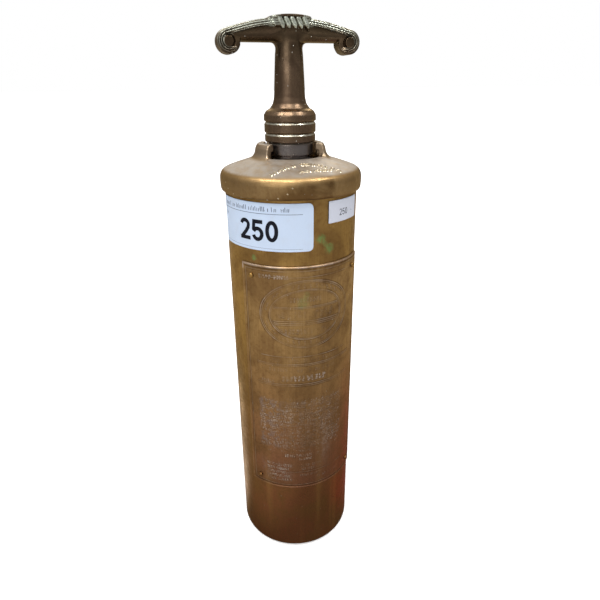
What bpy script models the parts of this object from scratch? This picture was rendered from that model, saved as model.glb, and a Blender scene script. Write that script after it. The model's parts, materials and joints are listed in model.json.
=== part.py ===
"""Brass pump-type fire extinguisher of about one quart, as an assembly of separate solids.

Frame: +Z up, the handle at the top; the foot stands on z = 0 and the pump's axis is the Z axis.
-Y is the front, where the name plate is; the T handle lies along X.
Dimensions are in millimetres (_R a radius, _Z a height) and angles in degrees from +X;
objects are made in metres. Profiles are closed lists of (radius, z) points.
"""

import math

import bmesh
import bpy
from mathutils import Matrix, Vector

MM = 0.001

# ---------------------------------------------------------------- driving dimensions (mm)
SHELL_R = 39.0            # outside radius of the reservoir tube
SHELL_WALL = 0.9
SHELL_TOP = 262.0
FOOT_ROUND = 4.0          # rounded corner between tube and foot
FOOT_LIP_R = 33.0         # inner edge of the rolled foot

HEAD_R = 41.6             # widest radius of the head's skirt
SKIRT_BORE_R = SHELL_R + 0.35
HEAD_BOTTOM = 253.5
HEAD_RIM_Z = 271.2        # edge of the recess round the handle's neck
HEAD_RECESS_R = 17.0
HEAD_RECESS_FLOOR = 266.2
GLAND_CHAMBER_R = 8.6
BOSS_R = 19.0             # boss under the head that carries the pump
BOSS_BOTTOM = 248.4

EAR_HALF_ANGLE = 36.0     # half the span of each hooked ear, about +X or -X
EAR_FOOT_R = 22.0
EAR_TOP = 278.8
HOOK_R = 15.0
HOOK_UNDER = 274.9
LIP_UNDER = 271.5         # the middle of each hook reaches down this far, just above the lugs
LIP_HALF_ANGLE = 23.0

LUG_R = 16.4              # bayonet lugs on the handle's neck, down in the recess
LUG_HALF_ANGLE = 42.0
LUG_TOP = 270.9
NECK_BOTTOM = 269.6
NECK_R = 12.9
COLLAR_BOTTOM = 279.2
COLLAR_R = 14.75
STEM_R_LOW = 8.9
STEM_R_HIGH = 7.6
STEM_TOP = 334.0

BAR_UNDER = 329.6         # underside of the T bar
BAR_HALF_THICK = 6.4
BAR_BEVEL = 0.9
SCROLL_X = 32.6           # centre of the scroll at each end
SCROLL_Z = 330.4
SCROLL_R = 6.3
BLOCK_TOP = 342.4         # raised grip block over the middle of the bar
BLOCK_HALF_THICK = 7.4

ROD_R = 4.75
ROD_TIP_R = 3.2
ROD_SHOULDER = 54.5       # height where the tip widens to the rod
BORE_CLEAR = 0.35         # radial clearance of a moving rod in a faceted bore
ROD_BORE_R = ROD_R + BORE_CLEAR
TIP_BORE_R = ROD_TIP_R + BORE_CLEAR

PIN_Z = 281.7             # cross pin through collar and rod
PIN_ANGLE = -127.5        # direction of one of its ends
PIN_R = 1.05
PIN_LENGTH = 28.6
PIN_HOLE_R = 1.35

PISTON_MID = 48.9         # the piston's leathers and washers mirror about this height
BARREL_R = 15.0
BARREL_BORE_R = 14.0
BARREL_Z = (36.3, 229.6)
BARREL_GASKET_BORE_R = 14.05

SOCKET_R = BARREL_R + 0.35   # socket of each valve body round the barrel
LOWER_FLOOR = 35.0
UPPER_CEILING = 231.0
PORT_X = 10.6             # inlet and upper outlet valves sit this far from the axis
CHAMBER_R = 3.7           # chambers of those valves
SEAT_R = 2.0
BALL_R = 2.9
OUTLET_BALL_R = 3.2       # lower outlet valve, on the axis
LOWER_STRAINER_Z = 19.4
UPPER_STRAINER_Z = 244.2

TUBE_X = -23.5            # discharge tube's axis
TUBE_R = 3.0
TUBE_SOCKET_R = TUBE_R + 0.35

FILLER_Y = 30.2
FILLER_BOSS_R = 7.5
FILLER_HOLE_R = 6.6
SHANK_R = 5.0             # the filler plug's thread is drawn as a plain shank

FRONT = -90.0             # plate and label angles are counted to the right from here
PLATE_ANGLES = (-62.5, 59.5)
PLATE_Z = (56.1, 216.5)
PLATE_BACK_R = SHELL_R + 0.3
PLATE_FACE_R = 39.75
LABEL_FACE_R = 39.48
PLATE_PINS = [(-52.0, 209.2), (50.0, 209.2), (-52.0, 62.2), (50.0, 62.2)]   # (angle, z)
PLATE_PIN_HOLE_R = 0.95

# colour, roughness, metallic
FINISHES = {
    "aged_brass": ((0.30, 0.18, 0.07), 0.38, 1.0),
    "head_brass": ((0.30, 0.20, 0.10), 0.35, 1.0),
    "handle_bronze": ((0.13, 0.085, 0.05), 0.42, 1.0),
    "plate_brass": ((0.32, 0.20, 0.08), 0.42, 1.0),
    "bright_brass": ((0.66, 0.47, 0.20), 0.25, 1.0),
    "steel": ((0.42, 0.42, 0.42), 0.3, 1.0),
    "leather": ((0.20, 0.10, 0.05), 0.75, 0.0),
    "packing": ((0.10, 0.10, 0.09), 0.85, 0.0),
    "paper": ((0.80, 0.82, 0.86), 0.6, 0.0),
}

for leftover in list(bpy.data.objects):
    bpy.data.objects.remove(leftover, do_unlink=True)


# ---------------------------------------------------------------- objects and modifiers
def part_material(name, finish):
    """A part's own material, in one of the finishes."""
    colour, roughness, metallic = FINISHES[finish]
    material = bpy.data.materials.new(f"{name}_{finish}")
    material.use_nodes = True
    shader = material.node_tree.nodes["Principled BSDF"]
    shader.inputs["Base Color"].default_value = (*colour, 1)
    shader.inputs["Roughness"].default_value = roughness
    shader.inputs["Metallic"].default_value = metallic
    return material


def mesh_object(name, bm, origin=(0, 0, 0)):
    """An object from bm, whose vertices are in mm in the world, with its origin at origin (mm)."""
    bmesh.ops.remove_doubles(bm, verts=bm.verts, dist=1e-4)
    bmesh.ops.recalc_face_normals(bm, faces=bm.faces)
    bmesh.ops.translate(bm, verts=bm.verts, vec=-Vector(origin))
    bmesh.ops.scale(bm, verts=bm.verts, vec=(MM, MM, MM))
    mesh = bpy.data.meshes.new(name)
    bm.to_mesh(mesh)
    bm.free()
    obj = bpy.data.objects.new(name, mesh)
    bpy.context.scene.collection.objects.link(obj)
    obj.location = Vector(origin) * MM
    return obj


def part(name, bm, finish, smooth=35.0, origin=(0, 0, 0)):
    """A visible part; edges sharper than smooth degrees stay sharp, and 0 leaves it all flat."""
    obj = mesh_object(name, bm, origin)
    obj.data.materials.append(part_material(name, finish))
    if smooth:
        obj.data.shade_smooth()
        obj.data.set_sharp_from_angle(angle=math.radians(smooth))
    return obj


def helper(name, bm):
    """A hidden object for boolean modifiers to use."""
    obj = mesh_object(name, bm)
    obj.hide_render = True
    obj.display_type = "WIRE"
    return obj


def boolean(obj, other, operation):
    modifier = obj.modifiers.new(f"{operation.lower()}_{other.name}", "BOOLEAN")
    modifier.operation = operation
    modifier.solver = "EXACT"
    modifier.object = other


def cut(obj, *others):
    for other in others:
        boolean(obj, other, "DIFFERENCE")


def join(obj, *others):
    for other in others:
        boolean(obj, other, "UNION")


# ---------------------------------------------------------------- profiles
def ring(inner, outer, bottom, top):
    return [(inner, bottom), (outer, bottom), (outer, top), (inner, top)]


def disc(radius, bottom, top):
    return ring(0, radius, bottom, top)


def arc(centre_x, centre_z, radius, start, end, steps):
    """Points of a circular arc in an upright plane."""
    angles = [math.radians(start + (end - start) * k / steps) for k in range(steps + 1)]
    return [(centre_x + radius * math.cos(a), centre_z + radius * math.sin(a)) for a in angles]


def heading(angle):
    """Level unit vector at an angle from +X."""
    return Vector((math.cos(math.radians(angle)), math.sin(math.radians(angle)), 0))


def aimed(direction, place):
    """Transform that turns +Z to direction and moves to place."""
    return Matrix.Translation(place) @ direction.to_track_quat("Z", "Y").to_matrix().to_4x4()


# ---------------------------------------------------------------- meshes
def revolved(profile, steps, centre=(0, 0)):
    """A full turn of a profile about a vertical axis through centre."""
    bm = bmesh.new()
    verts = [bm.verts.new((r, 0, z)) for r, z in profile]
    edges = []
    for i in range(len(verts)):
        j = (i + 1) % len(verts)
        along_axis = profile[i][0] == 0 and profile[j][0] == 0
        if not along_axis:
            edges.append(bm.edges.new((verts[i], verts[j])))
    bmesh.ops.spin(
        bm, geom=verts + edges, cent=(0, 0, 0), axis=(0, 0, 1), dvec=(0, 0, 0),
        angle=math.tau, steps=steps, use_merge=True, use_duplicate=False,
    )
    bmesh.ops.translate(bm, verts=bm.verts, vec=(*centre, 0))
    return bm


def skinned(rows):
    """A solid through closed rows of points, with flat ends."""
    bm = bmesh.new()
    rows = [[bm.verts.new(point) for point in row] for row in rows]
    for row, following in zip(rows, rows[1:]):
        for i in range(len(row)):
            j = (i + 1) % len(row)
            bm.faces.new((row[i], row[j], following[j], following[i]))
    bm.faces.new(rows[0][::-1])
    bm.faces.new(rows[-1])
    return bm


def swept(profile, start, end, steps):
    """Part of a turn of a profile about the Z axis, with flat ends."""
    rows = []
    for k in range(steps + 1):
        a = math.radians(start + (end - start) * k / steps)
        rows.append([(r * math.cos(a), r * math.sin(a), z) for r, z in profile])
    return skinned(rows)


def swept_about(profile, middle, half_angle, steps):
    return swept(profile, middle - half_angle, middle + half_angle, steps)


def cylinder(radius, length, steps, placement):
    bm = bmesh.new()
    bmesh.ops.create_cone(
        bm, cap_ends=True, segments=steps, radius1=radius, radius2=radius, depth=length
    )
    bmesh.ops.transform(bm, matrix=placement, verts=bm.verts)
    return bm


def mirrored_prism(right_half, half_thick):
    """An (x, z) outline, given from bottom to top on its right, mirrored and thickened along Y."""
    outline = right_half + [(-x, z) for x, z in reversed(right_half)]
    bm = bmesh.new()
    face = bm.faces.new([bm.verts.new((x, -half_thick, z)) for x, z in outline])
    moved = bmesh.ops.extrude_face_region(bm, geom=[face])["geom"]
    bmesh.ops.translate(bm, vec=(0, 2 * half_thick, 0),
                        verts=[v for v in moved if isinstance(v, bmesh.types.BMVert)])
    return bm


# ---------------------------------------------------------------- common parts and helpers
def turned(name, profile, steps, finish, centre=(0, 0), **options):
    return part(name, revolved(profile, steps, centre), finish, **options)


def turned_helper(name, profile, steps, centre=(0, 0)):
    return helper(name, revolved(profile, steps, centre))


def box_helper(name, size, centre, turn=0.0):
    """A box turned by turn degrees about its vertical axis."""
    bm = bmesh.new()
    bmesh.ops.create_cube(bm, size=1.0)
    bmesh.ops.scale(bm, verts=bm.verts, vec=size)
    bmesh.ops.rotate(bm, verts=bm.verts, cent=(0, 0, 0),
                     matrix=Matrix.Rotation(math.radians(turn), 3, "Z"))
    bmesh.ops.translate(bm, verts=bm.verts, vec=centre)
    return helper(name, bm)


def bore(name, start, end, radius, steps):
    """A cylindrical cutter between two points."""
    start, end = Vector(start), Vector(end)
    span = end - start
    return helper(name, cylinder(radius, span.length, steps, aimed(span, (start + end) / 2)))


def x_bore(name, x_from, x_to, z, radius, steps, y=0):
    return bore(name, (x_from, y, z), (x_to, y, z), radius, steps)


# ---------------------------------------------------------------- reservoir
def build_shell():
    corner = SHELL_R - FOOT_ROUND
    profile = [
        (FOOT_LIP_R, 0.0),
        *arc(corner, FOOT_ROUND, FOOT_ROUND, -90, 0, 4),
        (SHELL_R, SHELL_TOP), (SHELL_R - SHELL_WALL, SHELL_TOP),
        *arc(corner, FOOT_ROUND, FOOT_ROUND - SHELL_WALL, 0, -90, 3),
        (FOOT_LIP_R, SHELL_WALL),
    ]
    turned("shell", profile, 40, "aged_brass")


def build_base_cup():
    """Raised bottom inside the foot, open round the nozzle."""
    profile = [
        (35.6, 1.2), (30.6, 1.2), (29.0, 2.0), (16.8, 12.2), (15.8, 12.6), (6.5, 12.6),
        (6.5, 13.4), (16.1, 13.4), (17.3, 12.9), (29.4, 2.8), (30.9, 2.1), (35.6, 2.1),
    ]
    turned("base_cup", profile, 28, "aged_brass")


# ---------------------------------------------------------------- head, filler and gland
def build_head():
    profile = [
        # outside, from the lip of the skirt upwards
        (SKIRT_BORE_R, 253.6), (40.1, HEAD_BOTTOM), (41.0, 255.2), (41.45, 257.6),
        (HEAD_R, 260.0), (41.25, 262.2), (40.4, 264.0), (38.9, 265.2), (36.0, 266.2),
        (30.5, 268.0), (26.0, 269.4), (21.0, 270.7), (18.0, HEAD_RIM_Z),
        (HEAD_RECESS_R, 270.9),
        # recess round the neck, then the gland's chamber and the rod's hole
        (HEAD_RECESS_R, HEAD_RECESS_FLOOR), (GLAND_CHAMBER_R, HEAD_RECESS_FLOOR),
        (GLAND_CHAMBER_R, 257.0), (ROD_BORE_R, 257.0), (ROD_BORE_R, 254.5), (7.0, 254.5),
        (7.0, BOSS_BOTTOM),
        # boss, underside of the dome and inside of the skirt
        (BOSS_R, BOSS_BOTTOM), (BOSS_R, 264.6), (21.5, 265.8), (30.0, 264.2), (37.0, 262.4),
        (SKIRT_BORE_R, 262.35),
    ]
    ear_profile = [
        (20.9, 268.6), (EAR_FOOT_R, 270.4), (20.9, 272.6), (20.3, 275.6), (19.6, 277.7),
        (17.4, EAR_TOP), (HOOK_R + 0.5, EAR_TOP - 0.1), (HOOK_R, EAR_TOP - 0.7),
        (HOOK_R, HOOK_UNDER), (HEAD_RECESS_R, HOOK_UNDER), (HEAD_RECESS_R, 268.6),
    ]
    lip_profile = ring(HOOK_R, HEAD_RECESS_R + 1.5, LIP_UNDER, 276.5)

    head = turned("head", profile, 32, "head_brass")
    for side, middle in (("right", 0.0), ("left", 180.0)):
        ear = swept_about(ear_profile, middle, EAR_HALF_ANGLE, 7)
        lip = swept_about(lip_profile, middle, LIP_HALF_ANGLE, 4)
        join(head, helper(f"ear_{side}", ear), helper(f"lip_{side}", lip))

    # boss for the filler at the back of the dome, and its hole
    centre = (0, FILLER_Y)
    join(head, turned_helper("filler_boss", disc(FILLER_BOSS_R, 256.6, 270.8), 16, centre))
    cut(head, turned_helper("filler_hole", disc(FILLER_HOLE_R, 250.0, 275.0), 16, centre))


def build_filler():
    """Bush, slotted plug and gasket."""
    centre = (0, FILLER_Y)
    bush_top, plug_seat, gasket_bottom = 270.4, 272.1, 271.1
    turned("filler_bush", ring(SHANK_R + 0.4, 6.3, 256.9, bush_top), 16, "bright_brass",
           centre, origin=(0, FILLER_Y, bush_top))
    plug_profile = [
        (0, 258.1), (SHANK_R - 1.2, 258.1), (SHANK_R, 259.3), (SHANK_R, plug_seat),
        (7.0, plug_seat), (7.3, 272.6), (7.3, 275.3), (6.7, 276.0), (0, 276.0),
    ]
    plug = turned("filler_plug", plug_profile, 20, "bright_brass",
                  centre, origin=(0, FILLER_Y, plug_seat))
    cut(plug, box_helper("plug_slot", size=(20.0, 1.8, 4.0), centre=(0, FILLER_Y, 276.2)))
    turned("filler_gasket", ring(SHANK_R + 0.35, 7.0, gasket_bottom, 271.8), 16, "leather",
           centre, origin=(0, FILLER_Y, gasket_bottom))


def build_gland():
    """Packing, follower and notched nut round the rod."""
    outer = 8.2
    packing_profile = [
        (ROD_BORE_R, 257.3), (outer, 257.3), (outer, 259.6), (8.0, 259.8), (outer, 260.0),
        (outer, 262.3), (ROD_BORE_R, 262.3),
    ]
    nut_profile = [
        (ROD_BORE_R, 264.7), (outer, 264.7), (outer, 266.5), (11.6, 266.5), (11.6, 268.6),
        (11.0, 269.2), (6.2, 269.2), (ROD_BORE_R, 268.6),
    ]
    turned("gland_packing", packing_profile, 24, "packing")
    turned("gland_follower", ring(ROD_BORE_R, outer, 262.6, 264.4), 24, "bright_brass")
    nut = turned("gland_nut", nut_profile, 24, "bright_brass")
    for k in range(2):
        cut(nut, box_helper(f"gland_notch_{k}", size=(30.0, 2.4, 3.0), centre=(0, 0, 269.1),
                            turn=90 * k))


# ---------------------------------------------------------------- handle
def t_bar():
    right_half = [
        (8.2, BAR_UNDER - 3.9), (9.0, BAR_UNDER - 1.9), (10.4, BAR_UNDER - 0.6),
        (12.4, BAR_UNDER), (25.6, BAR_UNDER),
        *arc(SCROLL_X, SCROLL_Z, SCROLL_R, 192, 372, 5),
        (38.0, 333.4), (36.3, 334.8), (33.3, 336.2), (29.2, 337.8), (25.0, 339.0),
        (18.5, 340.4), (11.5, 341.4),
    ]
    bar = helper("t_bar", mirrored_prism(right_half, BAR_HALF_THICK))
    bevel = bar.modifiers.new("edge", "BEVEL")
    bevel.width = BAR_BEVEL * MM
    bevel.segments = 1
    bevel.limit_method = "ANGLE"
    bevel.angle_limit = math.radians(60)
    return bar


def grip_block():
    right_half = [(8.7, 336.6), (11.5, 340.2), (11.2, 341.0), (9.4, 342.0), (4.0, BLOCK_TOP)]
    return helper("grip_block", mirrored_prism(right_half, BLOCK_HALF_THICK))


def pin_bore(name, half_length):
    middle = Vector((0, 0, PIN_Z))
    reach = heading(PIN_ANGLE) * half_length
    return bore(name, middle - reach, middle + reach, PIN_HOLE_R, 12)


def build_handle():
    rod_socket_top = 294.6
    profile = [
        # neck
        (ROD_BORE_R, NECK_BOTTOM), (NECK_R - 1.2, NECK_BOTTOM), (NECK_R - 1.2, 271.9),
        (NECK_R, 272.3), (NECK_R, 278.4), (NECK_R - 0.5, COLLAR_BOTTOM),
        # three bands of the collar
        (COLLAR_R - 0.5, COLLAR_BOTTOM), (COLLAR_R - 0.25, 279.8), (COLLAR_R - 0.25, 282.5),
        (COLLAR_R - 1.1, 283.9), (COLLAR_R - 1.1, 284.3), (COLLAR_R - 0.1, 284.4),
        (COLLAR_R - 0.1, 288.5), (COLLAR_R - 1.0, 289.9), (COLLAR_R - 1.0, 290.3),
        (COLLAR_R + 0.05, 290.4), (COLLAR_R + 0.05, 294.2),
        # shoulder and stem
        (14.1, 295.6), (12.4, 296.9), (10.4, 298.4), (9.3, 300.4), (STEM_R_LOW, 303.0),
        (STEM_R_HIGH, 325.0), (STEM_R_HIGH, STEM_TOP), (0, STEM_TOP),
        # socket for the rod
        (0, rod_socket_top), (ROD_BORE_R, rod_socket_top),
    ]
    lug_profile = ring(NECK_R - 2.0, LUG_R, NECK_BOTTOM, LUG_TOP)

    handle = turned("handle", profile, 24, "handle_bronze", smooth=30)
    for side, middle in (("front", -90.0), ("back", 90.0)):
        join(handle, helper(f"lug_{side}", swept_about(lug_profile, middle, LUG_HALF_ANGLE, 6)))
    join(handle, t_bar(), grip_block())
    cut(handle, pin_bore("pin_hole", 20))


def build_handle_pin():
    middle = (0, 0, PIN_Z)
    pin = cylinder(PIN_R, PIN_LENGTH, 12, aimed(heading(PIN_ANGLE), Vector(middle)))
    part("handle_pin", pin, "handle_bronze", origin=middle)


# ---------------------------------------------------------------- rod and piston
def build_rod():
    profile = [
        (0, 40.0), (ROD_TIP_R - 0.4, 40.0), (ROD_TIP_R, 40.4), (ROD_TIP_R, ROD_SHOULDER),
        (ROD_R, ROD_SHOULDER), (ROD_R, 293.6), (ROD_R - 0.5, 294.2), (0, 294.2),
    ]
    rod = turned("piston_rod", profile, 24, "bright_brass", origin=(0, 0, NECK_BOTTOM))
    cut(rod, pin_bore("rod_pin_hole", 9))


def build_valve_nut():
    """Hexagonal nut on the rod's tip, with a nose below."""
    profile = [
        (0, 34.2), (1.6, 34.2), (2.1, 35.4), (2.2, 36.3), (4.6, 38.2), (5.2, 39.0),
        (5.2, 39.6), (0, 39.6),
    ]
    nut = turned("valve_nut", profile, 24, "bright_brass", origin=(0, 0, 39.0))
    join(nut, turned_helper("nut_hexagon", disc(6.3, 38.9, 43.4), 6))
    cut(nut, turned_helper("nut_bore", disc(ROD_TIP_R + 0.3, 39.7, 44.5), 20))


def build_piston():
    """Two cup leathers back to back on a disc, between washers, and the stop tube above."""
    lower_washer = ring(TIP_BORE_R, 11.5, 43.7, 45.0)
    lower_leather = [
        (TIP_BORE_R, 45.3), (11.9, 45.3), (12.4, 44.6), (12.4, 40.8), (13.3, 40.6),
        (13.7, 41.0), (13.7, 45.6), (13.1, 46.6), (TIP_BORE_R, 46.6),
    ]
    disc_profile = [
        (TIP_BORE_R, 46.9), (13.2, 46.9), (13.2, 48.3), (12.8, 48.6), (12.8, 49.2),
        (13.2, 49.5), (13.2, 50.9), (TIP_BORE_R, 50.9),
    ]
    stop_profile = [
        (ROD_BORE_R, ROD_SHOULDER), (7.5, ROD_SHOULDER), (7.5, 69.4), (6.9, 70.0),
        (ROD_BORE_R, 70.0),
    ]

    def flipped(profile):
        return [(r, 2 * PISTON_MID - z) for r, z in profile]

    # name, profile, steps, finish, height of the origin
    for name, profile, steps, finish, origin_z in (
        ("lower_piston_washer", lower_washer, 24, "bright_brass", 44.0),
        ("lower_cup_leather", lower_leather, 20, "leather", 46.0),
        ("piston_disc", disc_profile, 20, "bright_brass", PISTON_MID),
        ("upper_cup_leather", flipped(lower_leather), 20, "leather", 52.0),
        ("upper_piston_washer", flipped(lower_washer), 24, "bright_brass", 53.0),
        ("stop_tube", stop_profile, 24, "bright_brass", ROD_SHOULDER),
    ):
        turned(name, profile, steps, finish, origin=(0, 0, origin_z))


def build_barrel():
    turned("pump_barrel", ring(BARREL_BORE_R, BARREL_R, *BARREL_Z), 20, "bright_brass")
    for place, bottom, top in (("lower", 35.25, 36.0), ("upper", 229.9, 230.7)):
        turned(f"barrel_gasket_{place}", ring(BARREL_GASKET_BORE_R, BARREL_R, bottom, top), 20,
               "leather")


# ---------------------------------------------------------------- valve bodies
def join_tube_lug(body, place, end, mouth, tube_stop, passage_end, bridge_height, bridge_z):
    """Adds the lug that holds one end of the discharge tube, and the bridge to it."""
    profile = [
        (0, end), (5.6, end), (5.6, mouth), (TUBE_SOCKET_R, mouth),
        (TUBE_SOCKET_R, tube_stop), (1.7, tube_stop), (1.7, passage_end), (0, passage_end),
    ]
    join(
        body,
        turned_helper(f"{place}_lug", profile, 16, (TUBE_X, 0)),
        box_helper(f"{place}_bridge", (4.0, 7.0, bridge_height), (-18.0, 0, bridge_z)),
    )


def chamber_cutter(valve, x, bottom, top):
    return turned_helper(f"{valve}_chamber", disc(CHAMBER_R, bottom, top), 14, (x, 0))


def seat_cutter(valve, x, bottom, top):
    return turned_helper(f"{valve}_seat", disc(SEAT_R, bottom, top), 10, (x, 0))


def build_lower_body():
    profile = [
        (6.4, 14.3), (19.0, 14.3), (19.0, 32.0), (17.6, 33.4), (17.6, 40.0),
        (SOCKET_R, 40.0), (SOCKET_R, LOWER_FLOOR), (2.6, LOWER_FLOOR), (2.6, 31.0),
        (4.4, 31.0), (4.4, 21.0), (6.4, 21.0),
    ]
    body = turned("lower_valve_body", profile, 24, "bright_brass")
    join_tube_lug(body, "lower", end=18.0, mouth=34.0, tube_stop=26.0, passage_end=22.6,
                  bridge_height=12.0, bridge_z=26.0)
    cut(
        body,
        chamber_cutter("lower_inlet", PORT_X, 24.0, 38.0),
        seat_cutter("lower_inlet", PORT_X, 17.4, 26.0),
        x_bore("lower_inlet_port", PORT_X - 0.6, 22.0, LOWER_STRAINER_Z, 1.9, 10),
        x_bore("lower_strainer_seat", 17.0, 22.0, LOWER_STRAINER_Z, 3.6, 14),
        x_bore("lower_cross_port", TUBE_X - 0.6, -1.5, 24.0, 1.65, 10),
    )


def build_upper_body():
    profile = [
        (ROD_BORE_R, UPPER_CEILING), (SOCKET_R, UPPER_CEILING), (SOCKET_R, 226.0),
        (17.6, 226.0), (17.6, 229.0), (18.6, 230.0), (18.6, 248.0), (6.7, 248.0),
        (6.7, 254.0), (ROD_BORE_R, 254.0),
    ]
    body = turned("upper_valve_body", profile, 24, "bright_brass")
    join_tube_lug(body, "upper", end=246.0, mouth=228.0, tube_stop=238.0, passage_end=243.6,
                  bridge_height=13.0, bridge_z=238.1)
    cut(
        body,
        chamber_cutter("upper_inlet", PORT_X, 229.0, 243.0),
        seat_cutter("upper_inlet", PORT_X, 241.0, 246.6),
        x_bore("upper_inlet_port", PORT_X - 0.6, 22.0, 245.0, 1.5, 10),
        x_bore("upper_strainer_seat", 16.8, 22.0, UPPER_STRAINER_Z, 3.0, 14),
        seat_cutter("upper_outlet", -PORT_X, 229.0, 237.0),
        chamber_cutter("upper_outlet", -PORT_X, 235.0, 250.0),
        x_bore("upper_cross_port", TUBE_X - 0.6, -PORT_X - 1.5, 242.0, 1.65, 10),
    )


# ---------------------------------------------------------------- valves
def build_ball(name, radius, centre):
    bm = bmesh.new()
    bmesh.ops.create_uvsphere(bm, u_segments=12, v_segments=8, radius=radius)
    bmesh.ops.translate(bm, verts=bm.verts, vec=centre)
    part(name, bm, "steel", smooth=60, origin=centre)


def build_spring(name, centre_x, bottom, top, coil_radius, wire_radius):
    """A compression spring whose first and last half turns lie nearly flat on their seats."""
    turns, steps_per_turn, wire_sides = 3.5, 8, 4
    flat = 0.5 / turns        # share of the length taken by each end's half turn
    steady = 0.12             # share of the rise spread evenly over the whole length
    steps = int(turns * steps_per_turn)
    up = Vector((0, 0, 1))
    rows = []
    for k in range(steps + 1):
        t = k / steps
        a = math.tau * turns * t
        out = Vector((math.cos(a), math.sin(a), 0))
        middle_rise = min(max((t - flat) / (1 - 2 * flat), 0.0), 1.0)
        rise = steady * t + (1 - steady) * middle_rise
        z = bottom + wire_radius + (top - bottom - 2 * wire_radius) * rise
        wire_centre = Vector((centre_x, 0, z)) + coil_radius * out
        row = []
        for side in range(wire_sides):
            turn = math.tau * side / wire_sides
            row.append(wire_centre + wire_radius * (out * math.cos(turn) + up * math.sin(turn)))
        rows.append(row)
    part(name, skinned(rows), "steel", smooth=60, origin=(centre_x, 0, bottom))


def build_valves():
    # valve, x, ball radius, ball z, spring bottom, spring top, coil radius, wire radius
    for valve, x, ball_radius, ball_z, bottom, top, coil_radius, wire_radius in (
        ("lower_outlet", 0, OUTLET_BALL_R, 28.95, 21.1, 25.9, 2.5, 0.35),
        ("lower_inlet", PORT_X, BALL_R, 26.25, 28.9, 33.2, 2.2, 0.32),
        ("upper_inlet", PORT_X, BALL_R, 240.75, 233.6, 238.1, 2.2, 0.32),
        ("upper_outlet", -PORT_X, BALL_R, 237.25, 239.9, 244.6, 2.2, 0.32),
    ):
        build_ball(f"{valve}_ball", ball_radius, (x, 0, ball_z))
        build_spring(f"{valve}_spring", x, bottom, top, coil_radius, wire_radius)

    for place, bottom, top in (("lower", 33.4, 34.4), ("upper", 232.3, 233.3)):
        turned(f"{place}_inlet_retainer", ring(1.5, 3.4, bottom, top), 18, "bright_brass",
               (PORT_X, 0))
    turned("upper_outlet_plug", disc(3.4, 244.9, 247.9), 18, "bright_brass", (-PORT_X, 0))
    turned("outlet_seat_washer", ring(3.0, 5.3, 35.2, 35.9), 20, "leather")


def build_strainer(name, radius, x_from, x_to, z, hole_radius, pitch):
    """A disc across an inlet port, axis along X, with a middle hole and six at pitch round it."""
    placement = (Matrix.Translation(((x_from + x_to) / 2, 0, z))
                 @ Matrix.Rotation(math.pi / 2, 4, "Y"))
    strainer = part(name, cylinder(radius, x_to - x_from, 14, placement), "bright_brass")
    holes = [(f"{name}_hole", 0, 0)]
    for k in range(6):
        a = math.tau * k / 6
        holes.append((f"{name}_hole_{k}", pitch * math.cos(a), pitch * math.sin(a)))
    for hole_name, y, up in holes:
        cut(strainer, x_bore(hole_name, x_from - 2, x_to + 2, z + up, hole_radius, 6, y))


# ---------------------------------------------------------------- discharge tube and nozzle
def build_discharge_tube():
    centre = (TUBE_X, 0)
    turned("discharge_tube", ring(2.2, TUBE_R, 26.4, 237.6), 14, "bright_brass", centre)
    for name, bottom, top in (("tube_nut_lower", 34.3, 39.2), ("tube_nut_upper", 222.8, 227.7)):
        nut = turned(name, disc(5.4, bottom, top), 6, "bright_brass", centre, smooth=0)
        bore_profile = disc(TUBE_SOCKET_R, bottom - 2, top + 2)
        cut(nut, turned_helper(f"{name}_bore", bore_profile, 14, centre))


def build_nozzle():
    profile = [
        (1.3, 2.2), (2.6, 2.2), (3.4, 3.2), (4.6, 7.9), (6.1, 7.9), (6.1, 20.7),
        (3.6, 20.7), (1.3, 12.0),
    ]
    nozzle = turned("nozzle", profile, 18, "bright_brass")
    join(nozzle, turned_helper("nozzle_hexagon_solid", ring(5.2, 10.0, 8.0, 12.3), 6))
    turned("nozzle_gasket", ring(6.5, 12.0, 13.65, 14.05), 24, "leather")


# ---------------------------------------------------------------- name plate and labels
def wrapped(name, angles, heights, face_radius, steps, finish):
    """A sheet curved round the shell; angles are to the right of the front."""
    start, end = (FRONT + angle for angle in angles)
    sheet = swept(ring(PLATE_BACK_R, face_radius, *heights), start, end, steps)
    return part(name, sheet, finish, smooth=20)


def build_plate():
    """The name plate and the four round-headed pins at its corners."""
    # (radius, distance from the pump's axis)
    pin_profile = [
        (0, 39.2), (0.65, 39.2), (0.65, 40.0), (1.6, 40.0), (1.35, 40.6), (0.7, 40.95),
        (0, 41.05),
    ]
    plate = wrapped("name_plate", PLATE_ANGLES, PLATE_Z, PLATE_FACE_R, 24, "plate_brass")
    for k, (angle, z) in enumerate(PLATE_PINS, 1):
        out = heading(FRONT + angle)
        up = Vector((0, 0, z))
        cut(plate, bore(f"plate_pin_hole_{k}", out * 36 + up, out * 43 + up,
                        PLATE_PIN_HOLE_R, 10))
        pin = revolved(pin_profile, 8)
        bmesh.ops.transform(pin, verts=pin.verts, matrix=aimed(out, up))
        part(f"plate_pin_{k}", pin, "plate_brass", smooth=60)


def build_labels():
    """Two paper labels stuck on the shell above the plate."""
    wrapped("lot_label", (-88.4, 2.0), (225.0, 251.6), LABEL_FACE_R, 18, "paper")
    wrapped("price_label", (15.6, 52.6), (239.2, 251.4), LABEL_FACE_R, 10, "paper")


# ---------------------------------------------------------------- assembly
build_shell()
build_base_cup()
build_head()
build_filler()
build_gland()
build_handle()
build_handle_pin()
build_rod()
build_valve_nut()
build_piston()
build_barrel()
build_lower_body()
build_upper_body()
build_valves()
build_strainer("lower_strainer", radius=3.25, x_from=17.5, x_to=18.3, z=LOWER_STRAINER_Z,
               hole_radius=0.5, pitch=1.9)
build_strainer("upper_strainer", radius=2.65, x_from=17.2, x_to=18.0, z=UPPER_STRAINER_Z,
               hole_radius=0.45, pitch=1.55)
build_discharge_tube()
build_nozzle()
build_plate()
build_labels()
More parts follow.
